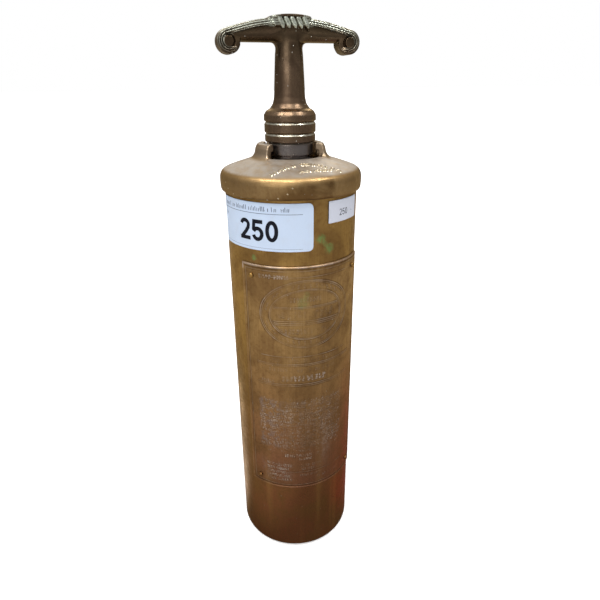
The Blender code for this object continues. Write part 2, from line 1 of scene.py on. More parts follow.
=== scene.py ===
"""A brass hand-pump fire extinguisher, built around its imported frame.

+Z is up, the name plate faces -Y and the T handle lies along X. Lengths are in millimetres, made
metres as each mesh is built. Lamps and camera are placed in metres.
"""

import json
import math
from itertools import product

import bmesh
import bpy
import numpy as np
from mathutils import Matrix, Vector


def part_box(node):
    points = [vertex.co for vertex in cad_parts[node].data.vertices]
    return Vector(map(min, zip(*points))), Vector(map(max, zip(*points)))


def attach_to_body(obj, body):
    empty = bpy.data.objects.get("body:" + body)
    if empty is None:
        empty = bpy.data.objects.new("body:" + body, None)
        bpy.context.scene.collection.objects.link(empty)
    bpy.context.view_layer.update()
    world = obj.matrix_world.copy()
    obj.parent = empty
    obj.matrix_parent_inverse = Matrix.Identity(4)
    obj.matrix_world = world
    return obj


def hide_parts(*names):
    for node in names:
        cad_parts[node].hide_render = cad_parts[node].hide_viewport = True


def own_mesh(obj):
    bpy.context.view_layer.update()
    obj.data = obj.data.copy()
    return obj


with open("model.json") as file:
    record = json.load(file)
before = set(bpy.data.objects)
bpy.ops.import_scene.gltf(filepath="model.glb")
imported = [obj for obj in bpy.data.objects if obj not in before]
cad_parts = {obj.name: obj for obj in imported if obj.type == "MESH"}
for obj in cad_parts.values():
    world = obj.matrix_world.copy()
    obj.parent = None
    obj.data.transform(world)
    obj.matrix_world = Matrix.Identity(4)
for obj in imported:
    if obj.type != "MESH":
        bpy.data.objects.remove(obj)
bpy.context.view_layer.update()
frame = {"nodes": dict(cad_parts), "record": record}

MM = 0.001


# ---- sizes read from the frame
def box_mm(node):
    low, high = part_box(node)
    return np.array(low) / MM, np.array(high) / MM


HANDLE_LO, HANDLE_HI = box_mm("handle")
PLATE_LO, PLATE_HI = box_mm("name_plate")
PLUG_LO, PLUG_HI = box_mm("filler_plug")
ROD_LO, ROD_HI = box_mm("piston_rod")
GLAND_LO, GLAND_HI = box_mm("gland_nut")
SHELL_HI = box_mm("shell")[1]
TUBE_R, SHELL_TOP = SHELL_HI[0], SHELL_HI[2]
EAR_TOP = box_mm("head")[1][2]
NECK_Z = HANDLE_LO[2]
TOP_Z = HANDLE_HI[2]
FILL_Y = (PLUG_LO[1] + PLUG_HI[1]) / 2


# ---- mesh building
def link(name, data):
    obj = bpy.data.objects.new(name, data)
    bpy.context.scene.collection.objects.link(obj)
    return obj


def smooth(mesh, sharp):
    """Smooth shading, with edges past `sharp` degrees left hard."""
    mesh.shade_smooth()
    mesh.set_sharp_from_angle(angle=math.radians(sharp))


def attach(obj, joint, node=None):
    """Parents obj to the joint's body and hides the frame node it replaces."""
    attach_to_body(obj, joint)
    if node:
        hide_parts(node)


def add_attribute(obj, name, values):
    attribute = obj.data.attributes.new(name, "FLOAT", "POINT")
    attribute.data.foreach_set("value", values.astype(np.float32))


def mesh_from(name, coords, faces, material, sharp=None):
    """A smooth object from coordinates in mm and a list or array of faces."""
    mesh = bpy.data.meshes.new(name)
    coords = np.asarray(coords, float) * MM
    if isinstance(faces, np.ndarray):
        sides = faces.shape[1]
        mesh.vertices.add(len(coords))
        mesh.vertices.foreach_set("co", coords.astype(np.float32).ravel())
        mesh.loops.add(faces.size)
        mesh.loops.foreach_set("vertex_index", faces.astype(np.int32).ravel())
        mesh.polygons.add(len(faces))
        mesh.polygons.foreach_set("loop_start", np.arange(0, faces.size, sides, dtype=np.int32))
        mesh.update(calc_edges=True)
    else:
        mesh.from_pydata([tuple(c) for c in coords], [], faces)
    mesh.validate()
    obj = link(name, mesh)
    mesh.shade_smooth()
    if sharp is not None:
        smooth(mesh, sharp)
    mesh.materials.append(material)
    return obj


def from_bmesh(name, solid, material):
    """A flat-shaded object from a bmesh in metres, its faces turned outward."""
    bmesh.ops.recalc_face_normals(solid, faces=solid.faces)
    mesh = bpy.data.meshes.new(name)
    solid.to_mesh(mesh)
    solid.free()
    mesh.materials.append(material)
    return link(name, mesh)


def fillet(points, per_arc=5):
    """A closed outline from (x, y, radius) corners, each rounded by an arc."""
    out = []
    for i, (x, y, radius) in enumerate(points):
        corner = np.array((x, y), float)
        back = np.array(points[i - 1][:2], float) - corner
        ahead = np.array(points[(i + 1) % len(points)][:2], float) - corner
        back_len, ahead_len = np.linalg.norm(back), np.linalg.norm(ahead)
        if radius <= 0 or back_len < 1e-9 or ahead_len < 1e-9:
            out.append(tuple(corner))
            continue
        back, ahead = back / back_len, ahead / ahead_len
        half = math.acos(float(np.clip(back @ ahead, -1, 1))) / 2
        if half > math.pi / 2 - 0.02:
            out.append(tuple(corner))
            continue
        trim = min(radius / math.tan(half), 0.49 * back_len, 0.49 * ahead_len)
        radius = trim * math.tan(half)
        mid = back + ahead
        mid /= np.linalg.norm(mid)
        centre = corner + mid * (radius / math.sin(half))
        start, end = corner + back * trim - centre, corner + ahead * trim - centre
        first = math.atan2(start[1], start[0])
        turn = (math.atan2(end[1], end[0]) - first + math.pi) % math.tau - math.pi
        for k in range(per_arc + 1):
            angle = first + turn * k / per_arc
            out.append((centre[0] + radius * math.cos(angle), centre[1] + radius * math.sin(angle)))
    return out


def through(points, per):
    """A smooth open curve through points (centripetal Catmull-Rom), `per` steps to a span."""
    pts = [np.array(q, float) for q in points]
    pts = [2 * pts[0] - pts[1]] + pts + [2 * pts[-1] - pts[-2]]
    out = []
    for i in range(1, len(pts) - 2):
        four = pts[i - 1 : i + 3]
        knots = [0.0]
        for start, end in zip(four, four[1:]):
            knots.append(knots[-1] + max(1e-6, np.linalg.norm(end - start)) ** 0.5)
        for k in range(per):
            now = knots[1] + (knots[2] - knots[1]) * k / per

            def between(low, high, start, end):
                low, high = knots[low], knots[high]
                return (high - now) / (high - low) * start + (now - low) / (high - low) * end

            lines = [between(j, j + 1, four[j], four[j + 1]) for j in range(3)]
            bends = [between(j, j + 2, lines[j], lines[j + 1]) for j in range(2)]
            out.append(tuple(between(1, 2, *bends)))
    out.append(tuple(pts[-2]))
    return out


def lathe(name, profile, material, steps, warp=None):
    """A full turn of a closed (radius, z) outline. Corners at radius 0 become poles."""
    steps = steps
    angles = np.arange(steps) * math.tau / steps
    coords, rings = [], []
    for radius, z in profile:
        if radius <= 1e-6:
            rings.append([len(coords)] * steps)
            coords.append((0, 0, z))
        else:
            rings.append(list(range(len(coords), len(coords) + steps)))
            coords += [(radius * math.cos(a), radius * math.sin(a), z) for a in angles]
    faces = []
    for ring, after in zip(rings, rings[1:] + rings[:1]):
        if ring[0] == ring[1] and after[0] == after[1]:
            continue
        for k in range(steps):
            j = (k + 1) % steps
            faces.append(list(dict.fromkeys((ring[k], ring[j], after[j], after[k]))))
    coords = np.array(coords, float)
    if warp is not None:
        coords = warp(coords)
    obj = mesh_from(name, coords, faces, material)
    solid = bmesh.new()
    solid.from_mesh(obj.data)
    bmesh.ops.recalc_face_normals(solid, faces=solid.faces)
    solid.to_mesh(obj.data)
    solid.free()
    smooth(obj.data, sharp=32)
    return obj


def aim(obj, direction, centre):
    """Turns obj's mesh so that its +Z runs along direction, then moves it to centre (mm)."""
    turn = direction.to_track_quat("Z", "Y").to_matrix().to_4x4()
    obj.data.transform(Matrix.Translation([c * MM for c in centre]) @ turn)


def cut_slots(obj, cutters, material, sharp):
    """Cuts boxes out of obj. cutters: (name, (x, y, z) sizes, degrees about Z, centre)."""
    boxes = []
    for name, sizes, turn, centre in cutters:
        bpy.ops.mesh.primitive_cube_add(size=1)
        box = bpy.context.object
        box.name = name
        box.scale = [size * MM for size in sizes]
        box.rotation_euler = (0, 0, math.radians(turn))
        box.location = [c * MM for c in centre]
        cut = obj.modifiers.new("slot", "BOOLEAN")
        cut.object, cut.operation, cut.solver = box, "DIFFERENCE", "EXACT"
        boxes.append(box)
    bpy.context.view_layer.update()
    evaluated = obj.evaluated_get(bpy.context.evaluated_depsgraph_get())
    applied = bpy.data.meshes.new_from_object(evaluated)
    obj.modifiers.clear()
    obj.data = applied
    applied.materials.clear()
    applied.materials.append(material)
    smooth(applied, sharp)
    for box in boxes:
        bpy.data.objects.remove(box, do_unlink=True)


def sheet_faces(columns, rows):
    """Faces of a thin sheet: a grid of front points, the same grid of back points, and a rim."""
    count = columns * rows
    index = np.arange(count).reshape(columns, rows)
    corners = (index[:-1, :-1], index[1:, :-1], index[1:, 1:], index[:-1, 1:])
    front = np.stack(corners, -1).reshape(-1, 4)
    ring = np.concatenate([index[:, 0], index[-1, 1:], index[-2::-1, -1], index[0, -2:0:-1]])
    after = np.roll(ring, -1)
    rim = np.stack([ring, ring + count, after + count, after], -1)
    return np.concatenate([front, (front + count)[:, ::-1], rim])


def on_tube(radius, angle, z):
    """Points round the Z axis; angle in radians from the front (-Y) towards +X."""
    return np.stack([radius * np.sin(angle), -radius * np.cos(angle), z], -1)


# ---- implicit solids: functions that are negative inside
def smin(a, b, k):
    """The union of two solids, blended over a width k."""
    h = np.clip(0.5 + 0.5 * (b - a) / k, 0, 1)
    return b + (a - b) * h - k * h * (1 - h)


def smax(a, b, k):
    """The part two solids share, its corner blended over a width k."""
    return -smin(-a, -b, k)


def step01(start, end, x):
    t = np.clip((x - start) / (end - start), 0, 1)
    return t * t * (3 - 2 * t)


def line_distance(points, x, y, closed):
    """Distance from (x, y) to a polyline, and whether it is inside a closed one."""
    best = np.full(x.shape, 1e9)
    inside = np.zeros(x.shape, bool)
    pts = np.asarray(points, float)
    for i in range(len(pts) if closed else len(pts) - 1):
        x0, y0 = pts[i]
        x1, y1 = pts[(i + 1) % len(pts)]
        run, rise = x1 - x0, y1 - y0
        square = run * run + rise * rise
        if square < 1e-12:
            continue
        t = np.clip(((x - x0) * run + (y - y0) * rise) / square, 0, 1)
        best = np.minimum(best, (x - x0 - t * run) ** 2 + (y - y0 - t * rise) ** 2)
        if closed and y0 != y1:
            crosses = (y0 > y) != (y1 > y)
            inside ^= crosses & (x < (y - y0) * run / rise + x0)
    return np.sqrt(best), inside


class Field:
    """A plane function stored on a fine grid and read back between its points."""

    def __init__(self, function, low, high, step):
        self.low, self.step = np.array(low, float), step
        self.count = [int(math.ceil((high[i] - low[i]) / step)) + 1 for i in (0, 1)]
        xs, ys = (low[i] + step * np.arange(self.count[i]) for i in (0, 1))
        self.values = function(*np.meshgrid(xs, ys, indexing="ij"))

    def __call__(self, x, y):
        x = (x - self.low[0]) / self.step
        y = (y - self.low[1]) / self.step
        in_x = np.clip(x, 0, self.count[0] - 1.001)
        in_y = np.clip(y, 0, self.count[1] - 1.001)
        i, j = in_x.astype(np.int32), in_y.astype(np.int32)
        a, b = in_x - i, in_y - j
        grid = self.values
        near = (grid[i, j] * (1 - a) + grid[i + 1, j] * a) * (1 - b)
        far = (grid[i, j + 1] * (1 - a) + grid[i + 1, j + 1] * a) * b
        return near + far + self.step * (np.abs(x - in_x) + np.abs(y - in_y))


def outline_field(points, low, high, step):
    def signed(x, y):
        distance, inside = line_distance(points, x, y, closed=True)
        return np.where(inside, -distance, distance)

    return Field(signed, low, high, step)


def isosurface(name, shape, xs, ys, zs, material):
    """The surface shape = 0 as quads on a grid of planes, each vertex drawn onto the surface."""
    axes = [np.asarray(xs), np.asarray(ys), np.asarray(zs)]
    grids = np.meshgrid(*axes, indexing="ij")
    values = shape(*(grid.ravel() for grid in grids)).reshape(grids[0].shape)
    inside = values < 0
    corners = list(product((0, 1), repeat=3))
    count = np.zeros(tuple(n - 1 for n in inside.shape), np.int8)
    for corner in corners:
        count += inside[tuple(slice(c, c + n) for c, n in zip(corner, count.shape))]
    mixed = (count > 0) & (count < 8)
    cells = np.argwhere(mixed)
    ids = np.full(mixed.shape, -1, np.int64)
    ids[mixed] = np.arange(len(cells))

    # each vertex starts at the mean of its cell's edge crossings
    total = np.zeros((len(cells), 3))
    hits = np.zeros(len(cells))
    for corner, axis in product(corners, range(3)):
        if corner[axis]:
            continue
        other = list(corner)
        other[axis] = 1
        start, end = cells + np.array(corner), cells + np.array(other)
        at_start, at_end = values[tuple(start.T)], values[tuple(end.T)]
        cross = (at_start < 0) != (at_end < 0)
        t = np.where(cross, at_start / np.where(cross, at_start - at_end, 1), 0)
        for d in range(3):
            from_pos, to_pos = axes[d][start[:, d]], axes[d][end[:, d]]
            total[:, d] += np.where(cross, from_pos + t * (to_pos - from_pos), 0)
        hits += cross
    points = total / hits[:, None]

    quads = []
    for axis in range(3):
        side1, side2 = (axis + 1) % 3, (axis + 2) % 3
        low, high = [slice(None)] * 3, [slice(None)] * 3
        low[axis], high[axis] = slice(0, -1), slice(1, None)
        edges = np.argwhere(inside[tuple(low)] != inside[tuple(high)])
        for side in (side1, side2):
            edges = edges[(edges[:, side] > 0) & (edges[:, side] < inside.shape[side] - 1)]
        step1, step2 = np.zeros(3, int), np.zeros(3, int)
        step1[side1], step2[side2] = 1, 1
        ring = [edges - step1 - step2, edges - step2, edges, edges - step1]
        quad = np.stack([ids[tuple(cell.T)] for cell in ring], 1)
        flip = ~inside[tuple(edges.T)]
        quad[flip] = quad[flip][:, ::-1]
        quads.append(quad)

    # three Newton steps, none of which may take a vertex far from its start
    reach = 0.6 * min(float(np.min(np.diff(axis))) for axis in axes)
    first = points.copy()
    probe = 0.03
    for _ in range(3):
        value = shape(*points.T)
        slope = np.zeros_like(points)
        for d in range(3):
            shift = np.zeros(3)
            shift[d] = probe
            slope[:, d] = (shape(*(points + shift).T) - shape(*(points - shift).T)) / (2 * probe)
        norm = np.maximum((slope**2).sum(1), 0.05)
        moved = points - slope * (value / norm)[:, None] - first
        far = np.linalg.norm(moved, axis=1)
        points = first + moved * np.minimum(1, 2.2 * reach / np.maximum(far, 1e-9))[:, None]
    return mesh_from(name, points, np.concatenate(quads), material)


def grid_axis(*parts):
    """Plane positions from (start, end, step) stretches that follow each other."""
    out = []
    for start, end, step in parts:
        step = step * 1
        count = max(1, int(round((end - start) / step)))
        out += [start + (end - start) * k / count for k in range(count)]
    return np.array(out + [parts[-1][1]])


# ---- shader nodes
class Nodes:
    """Short calls for building a node tree."""

    def __init__(self, tree):
        self.tree = tree

    def node(self, kind, **settings):
        node = self.tree.nodes.new(kind)
        for key, value in settings.items():
            setattr(node, key, value)
        return node

    def put(self, socket, value):
        if isinstance(value, bpy.types.NodeSocket):
            self.tree.links.new(value, socket)
        else:
            socket.default_value = (*value, 1.0) if socket.type == "RGBA" else value

    def math(self, operation, *values, clamp=False):
        node = self.node("ShaderNodeMath", operation=operation, use_clamp=clamp)
        for i, value in enumerate(values):
            self.put(node.inputs[i], value)
        return node.outputs[0]

    def plus(self, a, b, clamp=False):
        return self.math("ADD", a, b, clamp=clamp)

    def minus(self, a, b, clamp=False):
        return self.math("SUBTRACT", a, b, clamp=clamp)

    def times(self, a, b):
        return self.math("MULTIPLY", a, b)

    def vector(self, operation, *values, out="Vector"):
        node = self.node("ShaderNodeVectorMath", operation=operation)
        for i, value in enumerate(values):
            self.put(node.inputs[i], value)
        return node.outputs[out]

    def z_of(self, vector):
        node = self.node("ShaderNodeSeparateXYZ")
        self.put(node.inputs[0], vector)
        return node.outputs[2]

    def mix(self, amount, base, over):
        node = self.node("ShaderNodeMix", data_type="RGBA")
        self.put(node.inputs[0], amount)
        self.put(node.inputs[6], base)
        self.put(node.inputs[7], over)
        return node.outputs[2]

    def colours(self, source, stops):
        """A colour ramp; stops: (position, colour)."""
        node = self.node("ShaderNodeValToRGB")
        elements = node.color_ramp.elements
        for element, (position, colour) in zip(elements, (stops[0], stops[-1])):
            element.position, element.color = position, (*colour, 1)
        for position, colour in stops[1:-1]:
            elements.new(position).color = (*colour, 1)
        self.put(node.inputs[0], source)
        return node.outputs[0]


class Graph(Nodes):
    """A material under construction: its colour, roughness and metalness so far.

    Texture coordinates are the object's own, in millimetres.
    """

    def __init__(self, name, col=None, metal=1.0):
        self.material = bpy.data.materials.new(name)
        self.material.use_nodes = True
        super().__init__(self.material.node_tree)
        self.shader = self.tree.nodes["Principled BSDF"]
        self.col, self.rough, self.metal = col, 0.5, metal
        coord = self.node("ShaderNodeTexCoord").outputs["Object"]
        scale = self.node("ShaderNodeVectorMath", operation="SCALE")
        self.put(scale.inputs[0], coord)
        scale.inputs["Scale"].default_value = 1000.0
        self.mm = scale.outputs[0]

    def stretched(self, stretch, shift):
        return self.vector("MULTIPLY_ADD", self.mm, stretch, shift) if stretch else self.mm

    def noise(self, scale=1.0, detail=3.0, rough=0.55, stretch=None, shift=(0, 0, 0), warp=0.0,
              out="Fac"):
        node = self.node("ShaderNodeTexNoise")
        node.inputs["Scale"].default_value = scale
        node.inputs["Detail"].default_value = detail
        node.inputs["Roughness"].default_value = rough
        node.inputs["Distortion"].default_value = warp
        self.put(node.inputs["Vector"], self.stretched(stretch, shift))
        return node.outputs[out]

    def cells(self, scale=1.0, feature="F1", stretch=None, shift=(0, 0, 0), out="Distance"):
        node = self.node("ShaderNodeTexVoronoi", feature=feature)
        node.inputs["Scale"].default_value = scale
        self.put(node.inputs["Vector"], self.stretched(stretch, shift))
        return node.outputs[out]

    def ramp(self, source, start, end, low=0.0, high=1.0, smooth=True):
        """Takes source from start..end to low..high."""
        node = self.node("ShaderNodeMapRange", clamp=True)
        node.interpolation_type = "SMOOTHSTEP" if smooth else "LINEAR"
        keys = ("Value", "From Min", "From Max", "To Min", "To Max")
        for key, value in zip(keys, (source, start, end, low, high)):
            self.put(node.inputs[key], value)
        return node.outputs["Result"]

    def near(self, point, radius, soft, wobble):
        """1 inside a ragged ball round point (mm), 0 outside it."""
        wander = self.noise(scale=0.35, detail=4, rough=0.6, out="Color")
        where = self.vector("MULTIPLY_ADD", wander, (wobble,) * 3, self.mm)
        centre = tuple(c + wobble * 0.5 for c in point)
        distance = self.vector("DISTANCE", where, centre, out="Value")
        return self.ramp(distance, radius * (1 - soft), radius * (1 + soft), low=1.0, high=0.0)

    def attribute(self, name):
        return self.node("ShaderNodeAttribute", attribute_name=name).outputs["Fac"]

    def bump(self, height, strength, distance, normal=None):
        node = self.node("ShaderNodeBump")
        node.inputs["Strength"].default_value = strength
        node.inputs["Distance"].default_value = distance * MM
        self.put(node.inputs["Height"], height)
        if normal is not None:
            self.put(node.inputs["Normal"], normal)
        return node.outputs[0]

    def tint(self, mask, colour):
        self.col = self.mix(mask, self.col, colour)

    def tint_by_ramp(self, source, colour, start, end, high=1.0, low=0.0):
        self.tint(self.ramp(source, start, end, low, high), colour)

    def dull(self, amount, clamp=False):
        self.rough = self.plus(self.rough, amount, clamp)

    def polish(self, amount):
        self.rough = self.minus(self.rough, amount)

    def cover(self, amount):
        """Hides bare metal."""
        self.metal = self.minus(self.metal, amount, clamp=True)

    def finish(self, normal=None, specular=None):
        inputs = self.shader.inputs
        self.put(inputs["Base Color"], self.col)
        self.put(inputs["Roughness"], self.rough)
        self.put(inputs["Metallic"], self.metal)
        if normal is not None:
            self.put(inputs["Normal"], normal)
        if specular is not None:
            self.put(inputs["Specular IOR Level"], specular)
        return self.material


def srgb(*levels):
    return tuple(((c / 255 + 0.055) / 1.055) ** 2.4 if c > 10 else c / 255 / 12.92 for c in levels)


def shade(colour, gain):
    return tuple(min(1.0, gain * c) for c in colour)


def at(angle, z, radius=39.0):
    """A point on the tube, angle in degrees from the front towards +X."""
    return on_tube(radius, math.radians(angle), z)


# ---- old brass, layer by layer
def add_bloom_and_ceiling_sheen(mat, colour):
    """Faces that look up turn paler and greyer: partly a duller bloom, partly a painted reflection of
    the bright ceiling.
    """
    facing = mat.z_of(mat.node("ShaderNodeNewGeometry").outputs["Normal"])
    smear = mat.noise(scale=0.2, detail=6, rough=0.7)
    bloom_and_sheen = mat.times(mat.ramp(facing, start=0.72, end=0.95),
                      mat.ramp(smear, start=0.3, end=0.66, low=0.55, high=0.95))
    mat.tint(bloom_and_sheen, colour)
    mat.cover(mat.times(bloom_and_sheen, 0.6))
    mat.dull(mat.times(bloom_and_sheen, 0.05))


def add_edge_wear(mat, z, colour, dark, edge_from):
    """Bright metal on the edges, from a height up if one is given, and darker in the hollows."""
    point = mat.node("ShaderNodeNewGeometry").outputs["Pointiness"]
    patchy = mat.ramp(mat.noise(scale=0.6), start=0.3, end=0.62, low=0.35)
    pale_amount = mat.times(mat.ramp(point, start=0.525, end=0.60), patchy)
    if edge_from is not None:
        pale_amount = mat.times(pale_amount, mat.ramp(z, edge_from, edge_from + 4))
    mat.tint(pale_amount, colour)
    mat.polish(mat.times(pale_amount, 0.08))
    darkening = mat.ramp(point, start=0.49, end=0.43)
    mat.tint(mat.times(darkening, 0.8), shade(dark, 0.25))
    mat.dull(mat.times(darkening, 0.2))


def add_rubs_and_painted_highlights(mat, colour):
    # polished wear and painted highlights, from the handle's vertex attribute
    patchy = mat.ramp(mat.noise(scale=0.5), start=0.25, end=0.6, low=0.35)
    pale_amount = mat.times(mat.attribute("pale_amount"), patchy)
    mat.tint(pale_amount, colour)
    mat.polish(mat.times(pale_amount, 0.04))


def add_mark_wear(mat, dark):
    """Raised marks worn pale, painted highlights on the plate's top bead and one soft patch, darker
    along the marks' feet, and a film of soil between them.
    """
    pale_wear_and_highlight, foot = mat.attribute("pale_wear_and_highlight"), mat.attribute("foot")
    wear = mat.ramp(mat.noise(scale=0.16, detail=4, rough=0.6), start=0.36, end=0.62)
    patchy = mat.ramp(mat.noise(scale=0.1), start=0.3, end=0.6, low=0.35, high=0.85)
    mat.tint(mat.times(foot, patchy), shade(dark, 0.28))
    worn = mat.ramp(wear, start=0.0, end=1.0, low=0.30, high=0.85)
    mat.tint(mat.times(pale_wear_and_highlight, worn), srgb(214, 200, 190))
    mat.dull(mat.times(foot, 0.14))
    film = mat.times(mat.attribute("soil"), mat.minus(1.0, pale_wear_and_highlight, clamp=True))
    mat.tint(mat.times(film, 0.9), srgb(112, 96, 90))
    mat.cover(mat.times(film, 0.45))


def add_verdigris(mat, spots):
    """Green spots; spots: (centre, radius, strength)."""
    for point, size, strength in spots:
        mask = mat.near(point, size, soft=0.45, wobble=size * 1.1)
        broken = mat.noise(scale=0.8, detail=4, rough=0.65)
        mask = mat.times(mask, mat.ramp(broken, start=0.34, end=0.58, low=0.25))
        mask = mat.times(mask, strength)
        mat.tint(mask, srgb(86, 132, 72))
        mat.cover(mat.times(mask, 0.85))
        mat.dull(mat.times(mask, 0.35), clamp=True)


def add_dust(mat, scale, amount):
    """Pale specks of one size, however many cells the scale makes."""
    size = scale / 0.23
    place = {"scale": scale, "stretch": (1, 1, 1), "shift": (5, 2, 9)}
    dust = mat.ramp(mat.cells(**place), start=0.035 * size, end=0.06 * size, low=1.0, high=0.0)
    dust = mat.times(dust, mat.math("GREATER_THAN", mat.cells(**place, out="Color"), 0.62))
    dust = mat.times(dust, amount)
    mat.tint(dust, (0.85, 0.83, 0.76))
    mat.cover(dust)


def add_scratches(mat, fine, wavy):
    """Fine scratches and the shallow waviness of thin worked metal. Returns the normal."""
    edges = "DISTANCE_TO_EDGE"
    level = mat.cells(feature=edges, stretch=(0.10, 0.10, 1.3))
    upright = mat.cells(feature=edges, stretch=(1.2, 1.2, 0.05), shift=(9, 4, 2))
    cuts = mat.math("MINIMUM", mat.ramp(level, start=0.0, end=0.02),
                    mat.ramp(upright, start=0.0, end=0.025))
    clean = mat.ramp(mat.noise(scale=0.22), start=0.42, end=0.6, low=0.35)
    cuts = mat.math("MAXIMUM", cuts, clean)
    normal = mat.bump(cuts, strength=0.25, distance=0.03)
    normal = mat.bump(mat.noise(scale=0.12, rough=0.5), 0.55, wavy, normal)
    normal = mat.bump(fine, strength=0.12, distance=0.03, normal=normal)
    mat.dull(mat.ramp(cuts, start=0.0, end=1.0, low=0.06, high=0.0))
    return normal


def brass_skin(name, light, dark, low, span, rough, streak, speck, dusty=0.23, wavy=0.35, pits=0.75,
               zone=None, shaded=None, top=None, edge=None, edge_from=None, rub_and_highlight_colour=None,
               marked=False, spots=()):
    """Old brass with a cloudy patina.

    low: the tone below, turning to light over the heights in span; rough: (least, most);
    streak, speck, pits: strengths; dusty: scale of the dust; wavy: depth of the waves;
    zone: (start z, end z, colour, amount); shaded: (start z, end z, amount) of painted shade.
    """
    mat = Graph(name)
    z = mat.z_of(mat.mm)
    cloud = mat.noise(scale=0.045, detail=5, rough=0.6, warp=0.4)
    mottle = mat.noise(scale=0.42, detail=5, rough=0.65)
    fine = mat.noise(scale=2.6, detail=4, rough=0.6)
    lines = mat.noise(rough=0.6, stretch=(1.1, 1.1, 0.022))
    wide = mat.noise(detail=2, rough=0.5, stretch=(0.11, 0.11, 0.006), shift=(3, 7, 1))
    wander = mat.times(mat.minus(cloud, 0.5), 60.0)
    # the tone runs from low below to light above; on the tube and plate the darker, redder low tone is
    # painted shade and a painted red reflection
    mat.col = mat.mix(mat.ramp(mat.plus(z, wander), *span), low, light)
    mat.tint_by_ramp(cloud, dark, start=0.40, end=0.66, high=0.62)
    mat.tint_by_ramp(mottle, dark, start=0.46, end=0.72, high=0.34)
    mat.tint_by_ramp(lines, dark, start=0.35, end=0.7, high=streak)
    mat.tint_by_ramp(wide, shade(light, 1.35), start=0.52, end=0.74, high=streak * 0.8)
    mat.tint_by_ramp(fine, shade(dark, 0.5), start=0.3, end=0.75, low=0.12, high=0.0)
    # dark pits
    pit = mat.cells(scale=0.34, stretch=(1, 1, 0.8))
    pit = mat.ramp(pit, start=0.03, end=0.10, low=1.0, high=0.0)
    pit = mat.times(pit, mat.ramp(mat.noise(scale=0.06, detail=2), start=0.5, end=0.62))
    mat.tint(mat.times(pit, pits), shade(dark, 0.25))
    if zone is not None:
        start, end, colour, amount = zone
        mat.tint_by_ramp(z, colour, start, end, high=amount)
    # painted shade under the head's skirt
    if shaded is not None:
        start, end, amount = shaded
        mat.tint_by_ramp(z, shade(dark, 0.7), start, end, high=amount)
    mat.rough = mat.ramp(mottle, start=0.3, end=0.75, low=rough[0], high=rough[1])
    mat.dull(mat.ramp(cloud, start=0.35, end=0.7, low=-0.04, high=0.09))
    mat.metal = mat.minus(1.0, mat.times(pit, 0.8))
    # top: the colour of the painted ceiling reflection on faces that look up
    if top is not None:
        add_bloom_and_ceiling_sheen(mat, top)
    if edge is not None:
        add_edge_wear(mat, z, edge, dark, edge_from)
    # polished wear and painted highlights on the handle
    if rub_and_highlight_colour is not None:
        add_rubs_and_painted_highlights(mat, rub_and_highlight_colour)
    if marked:
        add_mark_wear(mat, dark)
    add_verdigris(mat, spots)
    add_dust(mat, dusty, speck)
    normal = add_scratches(mat, fine, wavy)
    mat.put(mat.shader.inputs["Specular Tint"], (0.86, 0.74, 0.56))
    return mat.finish(normal)


# ---- the other materials
def machined(name, base, rough=0.24, dull=0.35):
    mat = Graph(name, base)
    cloud = mat.noise(scale=0.5, detail=4, rough=0.6)
    turned = mat.noise(detail=2, rough=0.5, stretch=(0.15, 0.15, 6.0))
    mat.tint_by_ramp(cloud, shade(base, 0.45), start=0.35, end=0.7, high=dull)
    mat.tint_by_ramp(turned, shade(base, 1.3), start=0.3, end=0.7, high=0.18)
    mat.rough = mat.ramp(cloud, start=0.3, end=0.7, low=rough, high=rough + 0.16)
    return mat.finish(mat.bump(turned, strength=0.25, distance=0.02))


def leather(name):
    mat = Graph(name, srgb(96, 58, 34), metal=0.0)
    grain = mat.cells(scale=1.6, feature="DISTANCE_TO_EDGE")
    cloud = mat.noise(scale=0.3, detail=4, rough=0.6)
    mat.tint_by_ramp(cloud, srgb(52, 30, 20), start=0.3, end=0.7)
    creases = mat.ramp(grain, start=0.0, end=0.12)
    mat.rough = mat.ramp(cloud, start=0.3, end=0.7, low=0.5, high=0.72)
    return mat.finish(mat.bump(creases, strength=0.6, distance=0.12))


def cord(name):
    mat = Graph(name, srgb(40, 38, 34), metal=0.0)
    wave = mat.node("ShaderNodeTexWave", wave_type="BANDS", bands_direction="DIAGONAL")
    wave.inputs["Scale"].default_value = 0.9
    wave.inputs["Distortion"].default_value = 2.0
    mat.put(wave.inputs["Vector"], mat.mm)
    strands = wave.outputs["Fac"]
    mat.tint(strands, srgb(92, 86, 74))
    mat.rough = 0.8
    return mat.finish(mat.bump(strands, strength=0.7, distance=0.25))


def paper(name, base, shift):
    mat = Graph(name, base, metal=0.0)
    fibre = mat.noise(scale=1.8, detail=5, rough=0.7, stretch=(1, 1, 1), shift=(shift, 0, 0))
    soil = mat.noise(scale=0.12, detail=4, rough=0.6, stretch=(1, 1, 1), shift=(0, shift, 0))
    mat.tint_by_ramp(fibre, shade(base, 0.72), start=0.35, end=0.7, high=0.10)
    mat.tint_by_ramp(soil, srgb(176, 180, 190), start=0.5, end=0.75, high=0.22)
    normal = mat.bump(fibre, strength=0.25, distance=0.03)
    waves = mat.noise(scale=0.16, detail=2)
    normal = mat.bump(waves, strength=0.35, distance=0.25, normal=normal)
    mat.rough = mat.ramp(fibre, start=0.3, end=0.7, low=0.42, high=0.58)
    return mat.finish(normal, specular=0.35)


def ink(name, base):
    mat = Graph(name, base, metal=0.0)
    cloud = mat.noise(scale=2.0, detail=4, rough=0.6)
    faded = tuple(1.6 * c + 0.01 for c in base)
    mat.tint_by_ramp(cloud, faded, start=0.35, end=0.7, high=0.25)
    mat.rough = 0.45
    return mat.finish(mat.bump(cloud, strength=0.15, distance=0.02), specular=0.12)


